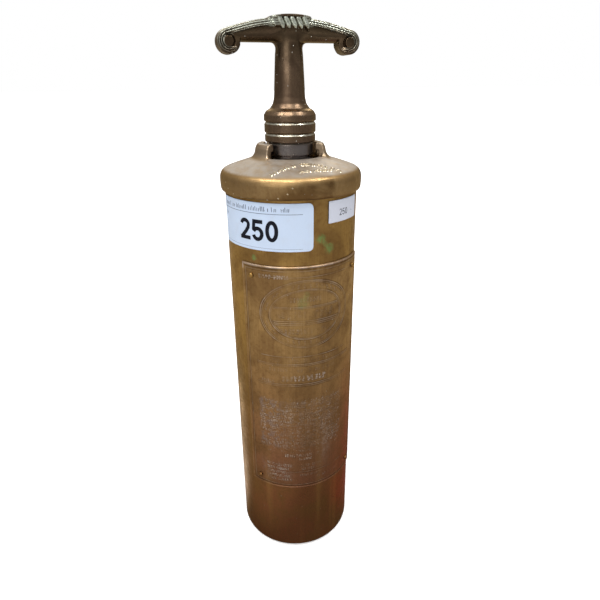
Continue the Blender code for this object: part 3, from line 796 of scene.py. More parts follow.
MAT = {}
# low: darker and redder towards the bottom, painted shade where the light falls off and a painted red
# reflection
MAT["shell"] = brass_skin(
    "aged_brass_tube", light=srgb(184, 147, 86), dark=srgb(118, 88, 52), low=srgb(136, 89, 62),
    # shaded: painted shade at the tube's top, under the head's skirt
    span=(20, 180), rough=(0.30, 0.46), streak=0.22, speck=0.3, shaded=(212, 226, 0.3),
    spots=[(at(9.3, 231), 2.6, 0.7), (at(17, 225), 2.8, 0.7), (at(-49, 220), 1.6, 0.7),
           (at(13, 228), 1.4, 0.4)],
)
# low: darker and redder towards the bottom, painted shade where the light falls off and a painted red
# reflection
MAT["plate"] = brass_skin(
    "aged_brass_plate", light=srgb(180, 146, 96), dark=srgb(118, 88, 56), low=srgb(144, 99, 76),
    span=(40, 180), rough=(0.34, 0.52), streak=0.28, speck=0.5, marked=True,
    spots=[(at(-6.7, 194, 39.8), 3.4, 0.3), (at(-4, 199, 39.8), 2.0, 0.25)],
)
# top paints the dome's up-facing faces pale grey: a painted reflection of the bright ceiling
MAT["head"] = brass_skin(
    "aged_brass_head", light=srgb(180, 150, 104), dark=srgb(128, 102, 68), low=srgb(112, 85, 52),
    span=(251, 264), rough=(0.33, 0.46), streak=0.12, speck=0.3, wavy=0.25, pits=0.3,
    zone=(268.5, 273, srgb(160, 148, 136), 0.6), top=srgb(163, 156, 147), edge=srgb(215, 198, 166),
)
MAT["marks"] = brass_skin(
    "rubbed_brass_marks", light=srgb(226, 212, 180), dark=srgb(170, 150, 120),
    low=srgb(214, 196, 160), span=(250, 262), rough=(0.22, 0.34), streak=0.1, speck=0.0, wavy=0.1,
    edge=srgb(245, 238, 220),
)
MAT["handle"] = brass_skin(
    "dark_bronze_handle", light=srgb(88, 75, 57), dark=srgb(62, 47, 38), low=srgb(122, 102, 82),
    span=(312, 334), rough=(0.26, 0.42), streak=0.15, speck=0.85, dusty=0.42, wavy=0.2, pits=0.4,
    zone=(281, 277, srgb(126, 124, 126), 0.7), edge=srgb(160, 156, 142), edge_from=331,
    # the colour of polished wear and of the painted highlights on the collar and neck
    rub_and_highlight_colour=srgb(204, 212, 199),
)
MAT["inner"] = machined("machined_brass", shade(srgb(196, 160, 92), 0.95))
MAT["rod"] = machined("polished_rod_brass", srgb(206, 172, 104), rough=0.16, dull=0.22)
MAT["steel"] = machined("ground_steel", srgb(170, 172, 176), rough=0.2, dull=0.15)
MAT["leather"] = leather("oiled_leather")
MAT["packing"] = cord("greased_cord")
MAT["label"] = paper("label_paper", srgb(183, 199, 221), shift=3.0)
MAT["price"] = paper("price_paper", srgb(192, 197, 210), shift=11.0)
MAT["ink"] = ink("label_ink", srgb(13, 15, 26))
MAT["grey_ink"] = ink("small_ink", srgb(96, 104, 122))

# ---- the tube
FOOT_R = 4.0  # of the rounded bottom edge
WALL = 0.9
dent_rng = np.random.default_rng(11)
# (angle, z, size, depth)
DENT_RANGES = ((-180, 180), (10, 245), (5, 13), (0.05, 0.16))
DENTS = [[dent_rng.uniform(*limits) for limits in DENT_RANGES] for _ in range(26)]


def dented(coords):
    """Shallow dings in the outer face, none under the head or near the plate above its foot."""
    radius = np.hypot(coords[:, 0], coords[:, 1])
    angle = np.degrees(np.arctan2(coords[:, 0], -coords[:, 1]))
    z = coords[:, 2]
    push = np.zeros(len(coords))
    for dent_angle, dent_z, size, depth in DENTS:
        across = ((angle - dent_angle + 180) % 360 - 180) * math.radians(1) * 39
        push += depth * np.exp(-(across**2 + (z - dent_z) ** 2) / (2 * size**2))
    mask = np.maximum(step01(62, 70, np.abs(angle)), 1 - step01(46, 55, z))
    mask = mask * (1 - step01(236, 246, z)) * step01(3, 9, z) * (radius > TUBE_R - 0.4)
    coords = coords.copy()
    coords[:, :2] *= (1 - push * mask / np.maximum(radius, 1))[:, None]
    return coords


def foot_arc(radius, degrees):
    centre = TUBE_R - FOOT_R
    return [(centre + radius * math.cos(math.radians(a)), FOOT_R + radius * math.sin(math.radians(a)))
            for a in degrees]


section = [(33.0, 0.05), (33.3, 0.0)] + foot_arc(FOOT_R, [-90 + 90 * k / 12 for k in range(13)])
section += [(TUBE_R, FOOT_R + (SHELL_TOP - 4.3) * k / 90) for k in range(1, 91)]
section += [(TUBE_R - 0.15, SHELL_TOP), (TUBE_R - WALL + 0.1, SHELL_TOP),
            (TUBE_R - WALL, SHELL_TOP - 0.2)]
section += foot_arc(FOOT_R - WALL, [-90 * k / 8 for k in range(9)])
section += [(33.2, WALL), (33.0, WALL - 0.1)]
tube = lathe("tube", section, MAT["shell"], steps=288, warp=dented)
attach(tube, "casing", "shell")

# the dished base: (radius, z, corner radius)
BASE_SECTION = [
    (35.5, 1.2, 0.2), (30.6, 1.2, 0.8), (29.0, 2.0, 2.5), (16.8, 12.0, 1.5), (15.6, 12.6, 0.5),
    (6.6, 12.6, 0.2), (6.6, 13.4, 0.2), (16.1, 13.4, 1), (17.6, 12.8, 2), (29.4, 2.9, 2),
    (31.1, 2.1, 0.8), (35.5, 2.1, 0.2),
]
base = lathe("base_dish", fillet(BASE_SECTION), MAT["shell"], steps=160)
attach(base, "casing", "base_cup")

# ---- the head: dome, skirt and two hooked ears in one casting
# (radius, z) from the skirt's foot to the rim of the central well
dome_top = through([
    (40.1, 253.25), (40.85, 253.6), (41.25, 254.5), (41.45, 256.4), (41.5, 259.2), (41.42, 260.8),
    (41.05, 262.4), (40.25, 263.8), (38.9, 264.95), (36.6, 265.95), (31.0, 267.85), (25.5, 269.55),
    (21.0, 270.75), (18.2, 271.15),
], per=10)
# (radius, z) down the well and back out under the dome
DOME_INSIDE = [
    (17.5, 271.15), (17.2, 271.0), (17.0, 270.6), (17.0, 266.7), (16.8, 266.35), (16.4, 266.2),
    (8.9, 266.2), (8.6, 265.9), (8.6, 257.0), (5.3, 257.0), (5.3, 254.5), (7.0, 254.5),
    (7.0, 248.7), (7.3, 248.4), (18.4, 248.4), (19.0, 249.0), (19.0, 263.6), (20.2, 265.0),
    (22.5, 265.5), (30.0, 264.2), (37.0, 262.6), (39.0, 262.4), (39.35, 262.0), (39.35, 253.9),
    (39.5, 253.6),
]
# (radius, z, corner radius)
EAR_SECTION = [
    (17.0, 267.0, 0), (22.2, 267.0, 0), (21.2, 271.5, 2.5), (20.2, 276.2, 2.0),
    (18.9, EAR_TOP, 2.4), (15.0, EAR_TOP, 0.9), (15.0, 274.9, 0.6), (17.0, 274.6, 0.4),
]
LIP_SECTION = [(15.0, 271.55, 0.4), (18.0, 271.55, 0.1), (18.0, 277.0, 0.1), (15.0, 277.0, 0.1)]
DOME = outline_field(dome_top + DOME_INSIDE, (0, 244), (46, 284), 0.1)
EAR = outline_field(fillet(EAR_SECTION, 7), (10, 260), (30, 284), 0.08)
LIP = outline_field(fillet(LIP_SECTION, 4), (10, 260), (30, 284), 0.1)
EAR_ANGLE, LIP_ANGLE = 36.0, 23.0  # half spans, each side of the X axis
HOLE_R, BOSS_R, BOSS_TOP = 6.6, 7.5, 270.8  # round the filler hole


def head_solid(x, y, z):
    radius = np.hypot(x, y)
    angle = np.degrees(np.arctan2(np.abs(y), np.abs(x)))
    hook = smax(EAR(radius, z), (angle - EAR_ANGLE) * radius * math.radians(1), 0.7)
    lip = smax(LIP(radius, z), (angle - LIP_ANGLE) * radius * math.radians(1), 1.2)
    hook = smin(hook, lip, 0.4)
    out = smin(DOME(radius, z), hook, 0.08 + 3.4 * step01(17.4, 20.0, radius))
    hole = np.hypot(x, y - FILL_Y)
    boss = smax(smax(hole - BOSS_R, z - BOSS_TOP, 0.5), 260 - z, 0.3)
    out = smin(out, boss, 1.6)
    return smax(out, HOLE_R - hole, 0.25)


span = grid_axis((-42.4, 42.4, 0.36))
levels = grid_axis((247.8, 253.0, 0.5), (253.0, 279.4, 0.3))
head = isosurface("head_casting", head_solid, span, span, levels, MAT["head"])
attach(head, "casing", "head")

# ---- the handle: a turned stem and a T bar that ends in scrolls
SOCKET_R = 5.1
# (radius, z, corner radius)
STEM_SECTION = [
    (SOCKET_R, NECK_Z, 0.2), (11.4, NECK_Z, 0.3), (11.7, NECK_Z + 0.4, 0.3), (11.7, 272.0, 0.3),
    (12.6, 272.15, 0.2), (12.95, 272.6, 0.3), (12.9, 278.3, 0.3), (12.5, 278.7, 0.3),
    (12.5, 279.2, 0.15), (13.9, 279.25, 0.5), (14.45, 279.9, 0.4), (14.5, 282.9, 0.3),
    (13.8, 283.8, 0.2), (13.75, 284.3, 0.1), (14.45, 284.45, 0.2), (14.65, 284.85, 0.2),
    (14.65, 288.9, 0.3), (13.9, 289.85, 0.2), (13.85, 290.35, 0.1), (14.6, 290.5, 0.25),
    (14.8, 290.9, 0.2), (14.75, 293.6, 1.9), (13.5, 295.7, 2.4), (11.2, 297.0, 2.4),
    (9.5, 299.4, 2.6), (8.75, 302.5, 4.0), (7.6, 324.0, 5.0), (6.9, 330.0, 4.0),
    (4.4, 335.0, 0.5), (0.0, 335.0, 0), (0.0, 294.6, 0), (SOCKET_R, 294.6, 0.2),
]
# points on the axis go past it, so that the axis itself is inside
stem_outline = [(radius if radius > 0 else -3, z) for radius, z in fillet(STEM_SECTION, 6)]
STEM = outline_field(stem_outline, (0, 266), (20, 338), 0.1)

EYE_X, EYE_Z = 32.85, 329.95  # centre of the scroll
SCROLL_R = 6.15
BAR_Z = 329.6  # underside of the bar


def scroll(stop):
    """Points round the scroll, clockwise from 74 degrees."""
    return [(EYE_X + SCROLL_R * math.cos(math.radians(a)), EYE_Z + SCROLL_R * math.sin(math.radians(a)))
            for a in range(74, stop, -5)]


# (x, z) along the top of the bar
bar_top = through([
    (-4.0, 341.3), (0.0, 341.3), (6.0, 341.12), (11.0, 340.75), (16.2, 340.1), (20.2, 339.45),
    (24.0, 338.6), (28.0, 337.6), (31.3, 336.72),
], per=8)
bar_under = [(25.9, 329.62), (25.4, BAR_Z), (14.0, BAR_Z), (4.0, BAR_Z), (-4.0, BAR_Z)]
BAR_LOW, BAR_HIGH = (-3.0, 318.0), (42.0, 345.0)
BAR = outline_field(bar_top + scroll(-188) + bar_under, BAR_LOW, BAR_HIGH, 0.09)
REED_LINE = bar_top + scroll(-116)


def reed_groove(rim):
    """1 in the grooves between the reeds, 0 on their crests; rim: distance from the rim."""
    return np.abs(np.cos(math.pi * (rim - 0.55) / 1.12))


def relief(x, z):
    """Half thickness of the bar at each point of its face."""
    rim = line_distance(REED_LINE, x, z, closed=False)[0]
    from_eye = np.hypot(x - EYE_X, z - EYE_Z)
    turn = np.degrees(np.arctan2(z - EYE_Z, x - EYE_X))
    turn = np.where(turn > 60, turn - 360, turn)
    under = np.clip(z - BAR_Z, 0, 12)
    web = 4.3 + 0.8 * np.exp(-(((under - 3.0) / 2.6) ** 2)) + 1.5 * np.exp(-((x / 9.0) ** 2))
    roll = 1.2 + np.sqrt(np.maximum(0.0, 4.4**2 - np.maximum(0, 4.4 - under) ** 2))
    web = np.where(x < 27.0, np.minimum(web, roll), web)
    # three round reeds on a face that slopes back towards the rim
    reeds = 5.35 + 0.28 * np.minimum(rim, 3.4) - 0.5 * reed_groove(rim) ** 3
    band = 1 - step01(3.05, 3.6, rim)
    # they run out where the scroll turns back under the bar
    ending = (from_eye < SCROLL_R + 0.3) & (turn < -60) & (z < 333.5)
    band = band * np.where(ending, step01(-150, -112, turn), 1.0)
    face = web + (reeds - web) * band
    # the flat button in the scroll's eye, with a groove round it
    eye = np.hypot(x - EYE_X - 0.2, z - EYE_Z + 0.15)
    face = np.where(eye < 4.0, face - 0.55 * np.exp(-(((eye - 3.05) / 0.42) ** 2)), face)
    return face + (5.75 - face) * (1 - step01(2.35, 2.85, eye))


RELIEF = Field(relief, BAR_LOW, BAR_HIGH, 0.09)
RIDGE_X = [-5.3, -1.95, 1.4, 4.75, 8.1]


def rounded(x, y, half_x, half_y, radius):
    """Distance to an upright post with a rounded oblong section."""
    out_x, out_y = np.abs(x) - half_x + radius, np.abs(y) - half_y + radius
    outside = np.hypot(np.maximum(out_x, 0), np.maximum(out_y, 0))
    return outside + np.minimum(np.maximum(out_x, out_y), 0) - radius


def capsule(x, y, z, start, end, radius, end_radius):
    px, py, pz = x - start[0], y - start[1], z - start[2]
    dx, dy, dz = (end[i] - start[i] for i in range(3))
    t = np.clip((px * dx + py * dy + pz * dz) / (dx * dx + dy * dy + dz * dz), 0, 1)
    distance = np.sqrt((px - t * dx) ** 2 + (py - t * dy) ** 2 + (pz - t * dz) ** 2)
    return distance - (radius + (end_radius - radius) * t)


def handle_solid(x, y, z):
    radius = np.hypot(x, y)
    wide, deep = np.abs(x), np.abs(y)
    # two flat lugs at the foot of the stem, towards -Y and +Y
    angle = np.degrees(np.arctan2(wide, deep))
    lug = smax(radius - 16.4, np.abs(z - (NECK_Z + 0.65)) - 0.65, 0.35)
    lug = smax(lug, (angle - 42.0) * radius * math.radians(1), 0.5)
    lug = smax(lug, 10.6 - radius, 0.2)
    body = smin(STEM(radius, z), lug, 0.25)
    t_bar = smax(BAR(wide, z), deep - RELIEF(wide, z), 1.1)
    out = smin(body, t_bar, 0.3 + 3.4 * step01(318, 326, z))
    # raised block in the middle of the bar under a thin crowned cap
    side = wide - (8.7 + (z - 336.6) * 0.42)
    block = smax(smax(side, np.abs(z - 339.0) - 2.4, 0.7), deep - 6.1, 0.8)
    crown = TOP_Z + 0.1 - 0.0085 * x * x
    post = rounded(x, y, half_x=11.6, half_y=7.2, radius=4.4)
    cap = smax(post, np.maximum(z - crown, crown - 1.15 - z), 0.4)
    out = smin(out, block, 0.7)
    out = smin(out, cap, 0.4)
    # half-round fingers on both faces of the block, leaning and pointed at the foot
    flip = np.where(y > 0, -1.0, 1.0)
    near = (wide < 14) & (z > 332)
    if near.any():
        part = out[near]
        where = ((x * flip)[near], -deep[near], z[near])
        for tip in RIDGE_X:
            foot = (tip + 1.25, -5.6, 335.2)
            mid = (tip + 0.35, -5.95, 337.8)
            top = (tip - 1.1, -5.75, 340.6)
            rib = np.minimum(capsule(*where, foot, mid, 0.45, 1.38),
                             capsule(*where, mid, top, 1.38, 1.42))
            part = smin(part, rib, 0.22)
        out = out.copy()
        out[near] = part
    return out


handle = isosurface(
    "handle_casting", handle_solid,
    grid_axis((-40.6, 40.6, 0.3)),
    grid_axis((-17.0, -8.4, 0.42), (-8.4, 8.4, 0.3), (8.4, 17.0, 0.42)),
    grid_axis((NECK_Z - 0.6, 279.0, 0.3), (279.0, 297.0, 0.2), (297.0, 322.0, 0.42),
              (322.0, 344.2, 0.28)),
    MAT["handle"],
)


def rubs_and_painted_highlights(mesh):
    """How pale each vertex of the handle is made, from 0 to 1: polished wear, and painted highlights on
    the collar's up-facing ledges and the top of the neck.
    """
    coords = np.empty(len(mesh.vertices) * 3, np.float32)
    mesh.vertices.foreach_get("co", coords)
    coords = coords.reshape(-1, 3) / MM
    normals = np.empty(coords.size, np.float32)
    mesh.vertex_normals.foreach_get("vector", normals)
    facing = normals.reshape(-1, 3)[:, 2]
    wide, deep, z = np.abs(coords[:, 0]), np.abs(coords[:, 1]), coords[:, 2]
    radius = np.hypot(coords[:, 0], coords[:, 1])
    rim = line_distance(REED_LINE, wide, z, closed=False)[0]
    crest = (1 - reed_groove(rim) ** 2) * (1 - step01(3.2, 3.7, rim)) * (deep > 4.6)
    fade = 0.1 + 0.3 * step01(325, 330, z) + 0.6 * step01(333, 337, z)
    zones = (  # where, how much
        ((z > 322) & (wide > 6), crest * fade),
        ((z > 336.0) & (z < TOP_Z - 1.2) & (wide < 12) & (deep > 5.9), step01(6.1, 6.8, deep)),
        # painted highlight on the collar's up-facing ledges
        ((z > 281.5) & (z < 291), step01(0.25, 0.6, facing) * 0.5),
        ((z > 336.8) & (wide > 8.6) & (wide < 12.5), 0.6 * (1 - step01(0.35, 0.75, np.abs(facing)))),
        # painted highlight on the up-facing top of the neck
        ((z > 271.5) & (z < 279) & (radius > 12.2), step01(0.3, 0.7, facing) * 0.4),
    )
    pale_amount = np.zeros(len(coords))
    for where, amount in zones:
        pale_amount = np.maximum(pale_amount, where * amount)
    return pale_amount


add_attribute(handle, "pale_amount", rubs_and_painted_highlights(handle.data))
attach(handle, "handle", "handle")

# a pin right through the collar: (radius, z, corner radius)
PIN_SECTION = [(0, -14.55, 0), (0.9, -14.5, 0.25), (1.2, -14.2, 0.3), (1.2, 14.2, 0.3),
               (0.9, 14.5, 0.25), (0, 14.55, 0)]
PIN_ANGLE = math.radians(-127.5)
pin = lathe("collar_pin", fillet(PIN_SECTION, 4), MAT["handle"], steps=32)
aim(pin, Vector((math.cos(PIN_ANGLE), math.sin(PIN_ANGLE), 0)), (0, 0, 281.7))
attach(pin, "handle", "handle_pin")

# ---- the pump rod and the gland ring round it: (radius, z, corner radius)
ROD_SECTION = [
    (0, ROD_LO[2], 0), (2.8, ROD_LO[2], 0.3), (3.2, ROD_LO[2] + 0.5, 0.2), (3.2, 54.5, 0),
    (4.75, 54.5, 0.2), (4.75, ROD_HI[2], 0.4), (0, ROD_HI[2], 0),
]
rod = lathe("pump_rod", fillet(ROD_SECTION, 3), MAT["rod"], steps=64)
attach(rod, "handle", "piston_rod")

GLAND_SECTION = [
    (5.3, GLAND_LO[2], 0.1), (8.2, GLAND_LO[2], 0.1), (8.2, 266.5, 0), (11.6, 266.5, 0.2),
    (11.6, 268.6, 0.3), (11.1, GLAND_HI[2], 0.3), (6.6, GLAND_HI[2], 0.5), (5.3, 268.3, 0.3),
]
gland = lathe("gland_ring", fillet(GLAND_SECTION, 4), MAT["inner"], steps=96)
crossed = [(f"gland_cutter_{k}", (30, 2.4, 3), 45 + 90 * k, (0, 0, 269.1)) for k in range(2)]
cut_slots(gland, crossed, MAT["inner"], sharp=30)
attach(gland, "casing", "gland_nut")


# ---- the filler plug, with raised turns on its shank and a knurled, slotted cap
def threaded_plug():
    steps, rows = 48, 96
    bottom, top = PLUG_LO[2], PLUG_HI[2]
    thread_start, thread_end, flange = bottom + 0.35, 270.4, 272.1
    pitch, core_r, thread_depth = 1.5, 4.35, 0.62
    cap_r, knurls, knurl_depth = 7.25, 24, 0.16

    def thread(angle, z):
        t = ((z - 259.0) / pitch - angle / math.tau) % 1.0
        crest = 1 - abs(2 * t - 1)
        fade = min(1.0, max(0.0, (z - bottom) / 1.4)) * min(1.0, max(0.0, (270.2 - z) / 1.0))
        return core_r + thread_depth * crest * fade

    def knurl(angle, z):
        return cap_r - knurl_depth * (0.5 + 0.5 * math.cos(angle * knurls))

    def plain(radius):
        return lambda angle, z: radius

    rings = [(plain(3.6), bottom + 0.02)]
    rings += [(thread, thread_start + (thread_end - thread_start) * k / rows)
              for k in range(rows + 1)]
    rings += [
        (plain(core_r), 271.4), (plain(4.9), flange), (plain(6.7), flange),
        (plain(7.05), flange + 0.1), (plain(cap_r), flange + 0.4), (knurl, flange + 0.6),
        (knurl, top - 1.0), (plain(7.15), top - 0.8), (plain(6.9), top - 0.3), (plain(6.4), top),
    ]
    coords, faces = [], []
    for radius_at, z in rings:
        for i in range(steps):
            angle = math.tau * i / steps
            radius = radius_at(angle, z)
            coords.append((radius * math.cos(angle), FILL_Y + radius * math.sin(angle), z))
    last = (len(rings) - 1) * steps
    for row in range(0, last, steps):
        for i in range(steps):
            j = (i + 1) % steps
            faces.append((row + i, row + j, row + steps + j, row + steps + i))
    faces.append(tuple(range(steps))[::-1])
    faces.append(tuple(range(last, last + steps)))
    return coords, faces


plug = mesh_from("filler_screw", *threaded_plug(), MAT["head"])
plug_slot = ("plug_cutter", (20, 1.7, 3.6), 0, (0, FILL_Y, PLUG_HI[2] + 0.3))
cut_slots(plug, [plug_slot], MAT["head"], sharp=32)
attach(plug, "filler_plug", "filler_plug")


# ---- valve springs
def coil(node):
    """A round wire spring with closed end turns."""
    turns, wire, lift = 3.5, 0.33, 1.5
    steps, sides = 22, 10
    low, high = box_mm(node)
    centre = [round((low[i] + high[i]) / 2, 1) for i in (0, 1)]
    coil_r = high[1] - centre[1] - wire
    length = high[2] - low[2]
    count = int(turns * steps)
    flat = 0.5 / turns
    coords, faces = [], []
    for k in range(count + 1):
        t = k / count
        angle = math.tau * turns * t
        climb = 0.0 if t < flat else 1.0 if t > 1 - flat else (t - flat) / (1 - 2 * flat)
        z = low[2] + wire + (length - 2 * wire) * (0.12 * t + 0.88 * climb)
        thick = wire * (0.55 if k in (0, count) else 1.0)
        for side in range(sides):
            around = math.tau * side / sides
            radius = coil_r + thick * math.cos(around)
            coords.append((centre[0] + radius * math.cos(angle),
                           centre[1] + radius * math.sin(angle), z + thick * math.sin(around)))
    for k in range(count):
        row, after = k * sides, (k + 1) * sides
        for side in range(sides):
            j = (side + 1) % sides
            faces.append((row + side, after + side, after + j, row + j))
    faces.append(tuple(range(sides)))
    faces.append(tuple(count * sides + side for side in range(sides))[::-1])
    obj = mesh_from(node + "_coil", coords, faces, MAT["steel"])
    attach(obj, "casing", node)
    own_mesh(obj)


for valve, fixed_low in (("lower_outlet", True), ("lower_inlet", False), ("upper_inlet", True),
                         ("upper_outlet", False)):
    coil(valve + "_spring")

# ---- the name plate: etched relief, its marks worn and unreadable
PLATE_R = 39.6
BACK_R = 39.3  # inner face of the plate and of the labels
PLATE_HALF = math.radians(61.0) * PLATE_R
PLATE_MID = math.radians(-1.5)
P_LOW, P_TOP = PLATE_LO[2], PLATE_HI[2]
GRID = 0.21
COLUMNS = int(2 * PLATE_HALF / GRID) + 1
ROWS = int((P_TOP - P_LOW) / GRID) + 1
# the face, laid flat: distance round the tube from the middle, and height
ARC, LEVEL = np.meshgrid(np.linspace(-PLATE_HALF, PLATE_HALF, COLUMNS),
                         np.linspace(P_LOW, P_TOP, ROWS), indexing="ij")
OVAL_ARC, OVAL_Z = -0.8, 186.5
marks = np.zeros_like(ARC)
pale = np.zeros_like(ARC)  # how pale each mark's crest has been rubbed
lines = np.zeros_like(ARC)  # rules and oval frames
groove = np.zeros_like(ARC)  # darker along the lines' feet
rng = np.random.default_rng(5)


def stroke(distance, width, height):
    line = height * (1 - step01(width / 2, width / 2 + 0.22, distance))
    np.maximum(lines, line, out=lines)
    darkening = height * np.exp(-(((distance - width / 2 - 0.32) / 0.3) ** 2))
    np.maximum(groove, darkening, out=groove)


def rule(z, start, end, width, height):
    beyond = np.maximum(0, np.maximum(start - ARC, ARC - end))
    stroke(np.hypot(beyond, LEVEL - z), width, height)


def oval(half_arc, half_z, width, height):
    across, above = ARC - OVAL_ARC, LEVEL - OVAL_Z
    size = np.hypot(across / half_arc, above / half_z)
    slope = np.hypot(across / half_arc**2, above / half_z**2)
    stroke(np.abs(size - 1) * size / np.maximum(slope, 1e-6), width, height)


def tick(arc, z, width, tall, lean, height, shine):
    """One worn mark: a short leaning bar, broken part of the way up."""
    i0, i1 = np.searchsorted(ARC[:, 0], [arc - width - tall, arc + width + tall])
    j0, j1 = np.searchsorted(LEVEL[0], [z - tall, z + tall])
    if i1 <= i0 or j1 <= j0:
        return
    part = (slice(i0, i1), slice(j0, j1))
    across, above = ARC[part] - arc, LEVEL[part] - z
    over = np.maximum(0, np.abs(above) - tall / 2)
    aside = np.maximum(0, np.abs(across - lean * above) - width / 2)
    gap = np.abs(above - tall * 0.12 * math.sin(arc * 3.1))
    value = height * (1 - step01(0.05, 0.27, np.hypot(aside, over)))
    value = value * (0.25 + 0.75 * step01(0.05, 0.3, gap))
    marks[part] = np.maximum(marks[part], value)
    pale[part] = np.maximum(pale[part], value * shine)


def worn_row(z, arc, end, size, strength, gaps, shine):
    """A row of marks that stands for worn lettering without spelling anything."""
    while arc < end:
        if rng.random() < gaps:
            arc += size * rng.uniform(0.5, 0.9)
            continue
        width = size * rng.uniform(0.16, 0.34)
        tall = size * rng.uniform(0.72, 1.0)
        lean = rng.uniform(-0.2, 0.2)
        tick(arc, z, width, tall, lean, strength * rng.uniform(0.5, 1.0), shine)
        if rng.random() < 0.45:
            dot_z = z + size * rng.uniform(-0.3, 0.3)
            height = strength * rng.uniform(0.4, 0.9)
            tick(arc + size * 0.24, dot_z, size * 0.2, size * 0.3, 0, height, shine)
        arc += size * rng.uniform(0.52, 0.74)


# a rolled bead on the edge and a fine rule inside it
edge_in = np.minimum(PLATE_HALF - np.abs(ARC), np.minimum(LEVEL - P_LOW, P_TOP - LEVEL))
bead = np.exp(-(((edge_in - 0.85) / 0.5) ** 2)) * 1.7
stroke(np.abs(edge_in - 3.0), width=0.28, height=0.55)

# oval frames: half width, half height, line width, line height
INNER_OVAL = (22.9, 15.9)
for entry in ((28.9, 21.4, 0.42, 0.9), (27.8, 20.5, 0.28, 0.55), (*INNER_OVAL, 0.42, 0.9),
              (22.0, 15.2, 0.25, 0.5)):
    oval(*entry)

# rules across the oval: z, line width, line height
for z, width, height in ((191.6, 0.32, 0.8), (190.8, 0.3, 0.5), (182.6, 0.32, 0.8),
                         (181.4, 0.32, 0.8), (180.3, 0.32, 0.6)):
    half = 22.4 * math.sqrt(max(0, 1 - ((z - OVAL_Z) / INNER_OVAL[1]) ** 2)) - 1.2
    rule(z, OVAL_ARC - half, OVAL_ARC + half, width, height)

# long rules: z, start, end, line width, line height
for entry in (
    (P_TOP - 6.6, -22, PLATE_HALF - 3.4, 0.3, 0.6), (158.9, -30, 26, 0.35, 0.8),
    (153.6, -33, 31, 0.35, 0.8), (152.6, -33, 31, 0.3, 0.55), (139.4, -33, 31, 0.35, 0.85),
    (138.2, -33, 31, 0.3, 0.6), (69.9, -28, 27, 0.28, 0.5),
):
    rule(*entry)

# rows of marks: z, start, end, size, strength, share of gaps, shine
OVAL_ROWS = (
    (186.7, -18.0, 15.5, 5.0, 1.0, 0.05, 0.12), (196.2, -10.5, 9.5, 3.2, 0.9, 0.16, 0.3),
    (176.0, -16.5, 12.0, 3.8, 0.95, 0.16, 0.3), (171.9, -5.5, 4.0, 1.8, 0.6, 0.16, 0.3),
)
UPPER_ROWS = (
    (210.0, -29.2, -11.6, 2.4, 1.0, 0.05, 1.0), (156.2, -24, 23, 2.4, 0.6, 0.16, 0.25),
    (149.7, -24.5, -13.5, 2.4, 0.75, 0.1, 0.5), (149.2, -10, 18, 1.9, 0.45, 0.4, 0.5),
    (143.6, -16.0, 9.5, 4.0, 1.0, 0.04, 1.0), (141.0, -30.0, -22.5, 2.2, 0.8, 0.1, 1.0),
)
LOWER_ROWS = (
    (87.9, -6.0, 1.2, 1.9, 0.9, 0.05, 0.9), (83.9, -15.8, 14.0, 2.3, 1.0, 0.06, 0.9),
    (80.9, -7.5, 1.5, 1.7, 0.9, 0.05, 0.9),
)
FOOT_ROWS = (
    (75.4, -5, 8.5, 1.9, 0.8, 0.16, 0.55), (72.4, -5, 8.5, 1.9, 0.8, 0.16, 0.55),
    (67.2, -6, 9, 1.7, 0.7, 0.16, 0.55), (64.0, 6, 22, 1.7, 0.7, 0.16, 0.55),
)
for entry in OVAL_ROWS:
    worn_row(*entry)
for k in range(44):  # marks that run round between the two ovals
    angle = math.radians(-90 + 360 * (k + 0.5) / 44)
    across, above = math.cos(angle), math.sin(angle)
    if abs(across) > 0.97 and abs(above) < 0.2:
        continue
    tick(OVAL_ARC + 25.3 * across, OVAL_Z + 18.2 * above, width=0.7, tall=2.2,
         lean=-0.9 * across * above, height=rng.uniform(0.45, 0.9), shine=0.3)
for entry in UPPER_ROWS:
    worn_row(*entry)
for k in range(13):  # a block of close rows in two columns
    z = 125.6 - 2.85 * k
    shine = 1.0 if 4 <= k <= 9 else 0.55
    worn_row(z, -33.0 + rng.uniform(0, 2), -20, 1.9, 1.0, 0.08, shine)
    worn_row(z, -19.2, 25 - rng.uniform(0, 4), 1.85, 0.9, 0.12, 0.62)
for entry in LOWER_ROWS:
    worn_row(*entry)
for k in range(5):
    worn_row(75.6 - 3.1 * k, -28.5, -12.5 + rng.uniform(-3, 1), 1.9, 1.0, 0.08, 0.9)
for entry in FOOT_ROWS:
    worn_row(*entry)


def value_noise(cell, seed):
    """Smooth noise over the plate, with cells of the given size."""
    size = 64
    table = np.random.default_rng(seed).random((size, size))
    x, y = ARC / cell + 17.3, LEVEL / cell + 9.1
    i, j = np.floor(x).astype(int), np.floor(y).astype(int)
    a, b = x - i, y - j
    a, b = a * a * (3 - 2 * a), b * b * (3 - 2 * b)

    def knot(p, q):
        return table[p % size, q % size]

    low = knot(i, j) * (1 - a) + knot(i + 1, j) * a
    high = knot(i, j + 1) * (1 - a) + knot(i + 1, j + 1) * a
    return low * (1 - b) + high * b


def band(low0, low1, high0, high1, x):
    """Rises from 0 to 1 over low0..low1 and falls back over high0..high1."""
    return step01(low0, low1, x) * (1 - step01(high0, high1, x))


# wear: broad areas polished almost flat, and frayed marks
wear = 0.6 * value_noise(13.0, seed=3) + 0.4 * value_noise(5.0, seed=4)
fray = 0.6 * value_noise(0.85, seed=12) + 0.4 * value_noise(0.45, seed=13)
marks *= 0.35 + 0.65 * step01(0.30, 0.52, fray)
pale *= 0.25 + 0.75 * step01(0.34, 0.56, fray)
line_keep = 0.28 + 0.72 * step01(0.36, 0.6, wear)
relief_depth = np.maximum(marks * (0.30 + 0.70 * step01(0.36, 0.62, wear)), lines * line_keep)
pale = np.maximum(pale, lines * 0.42)
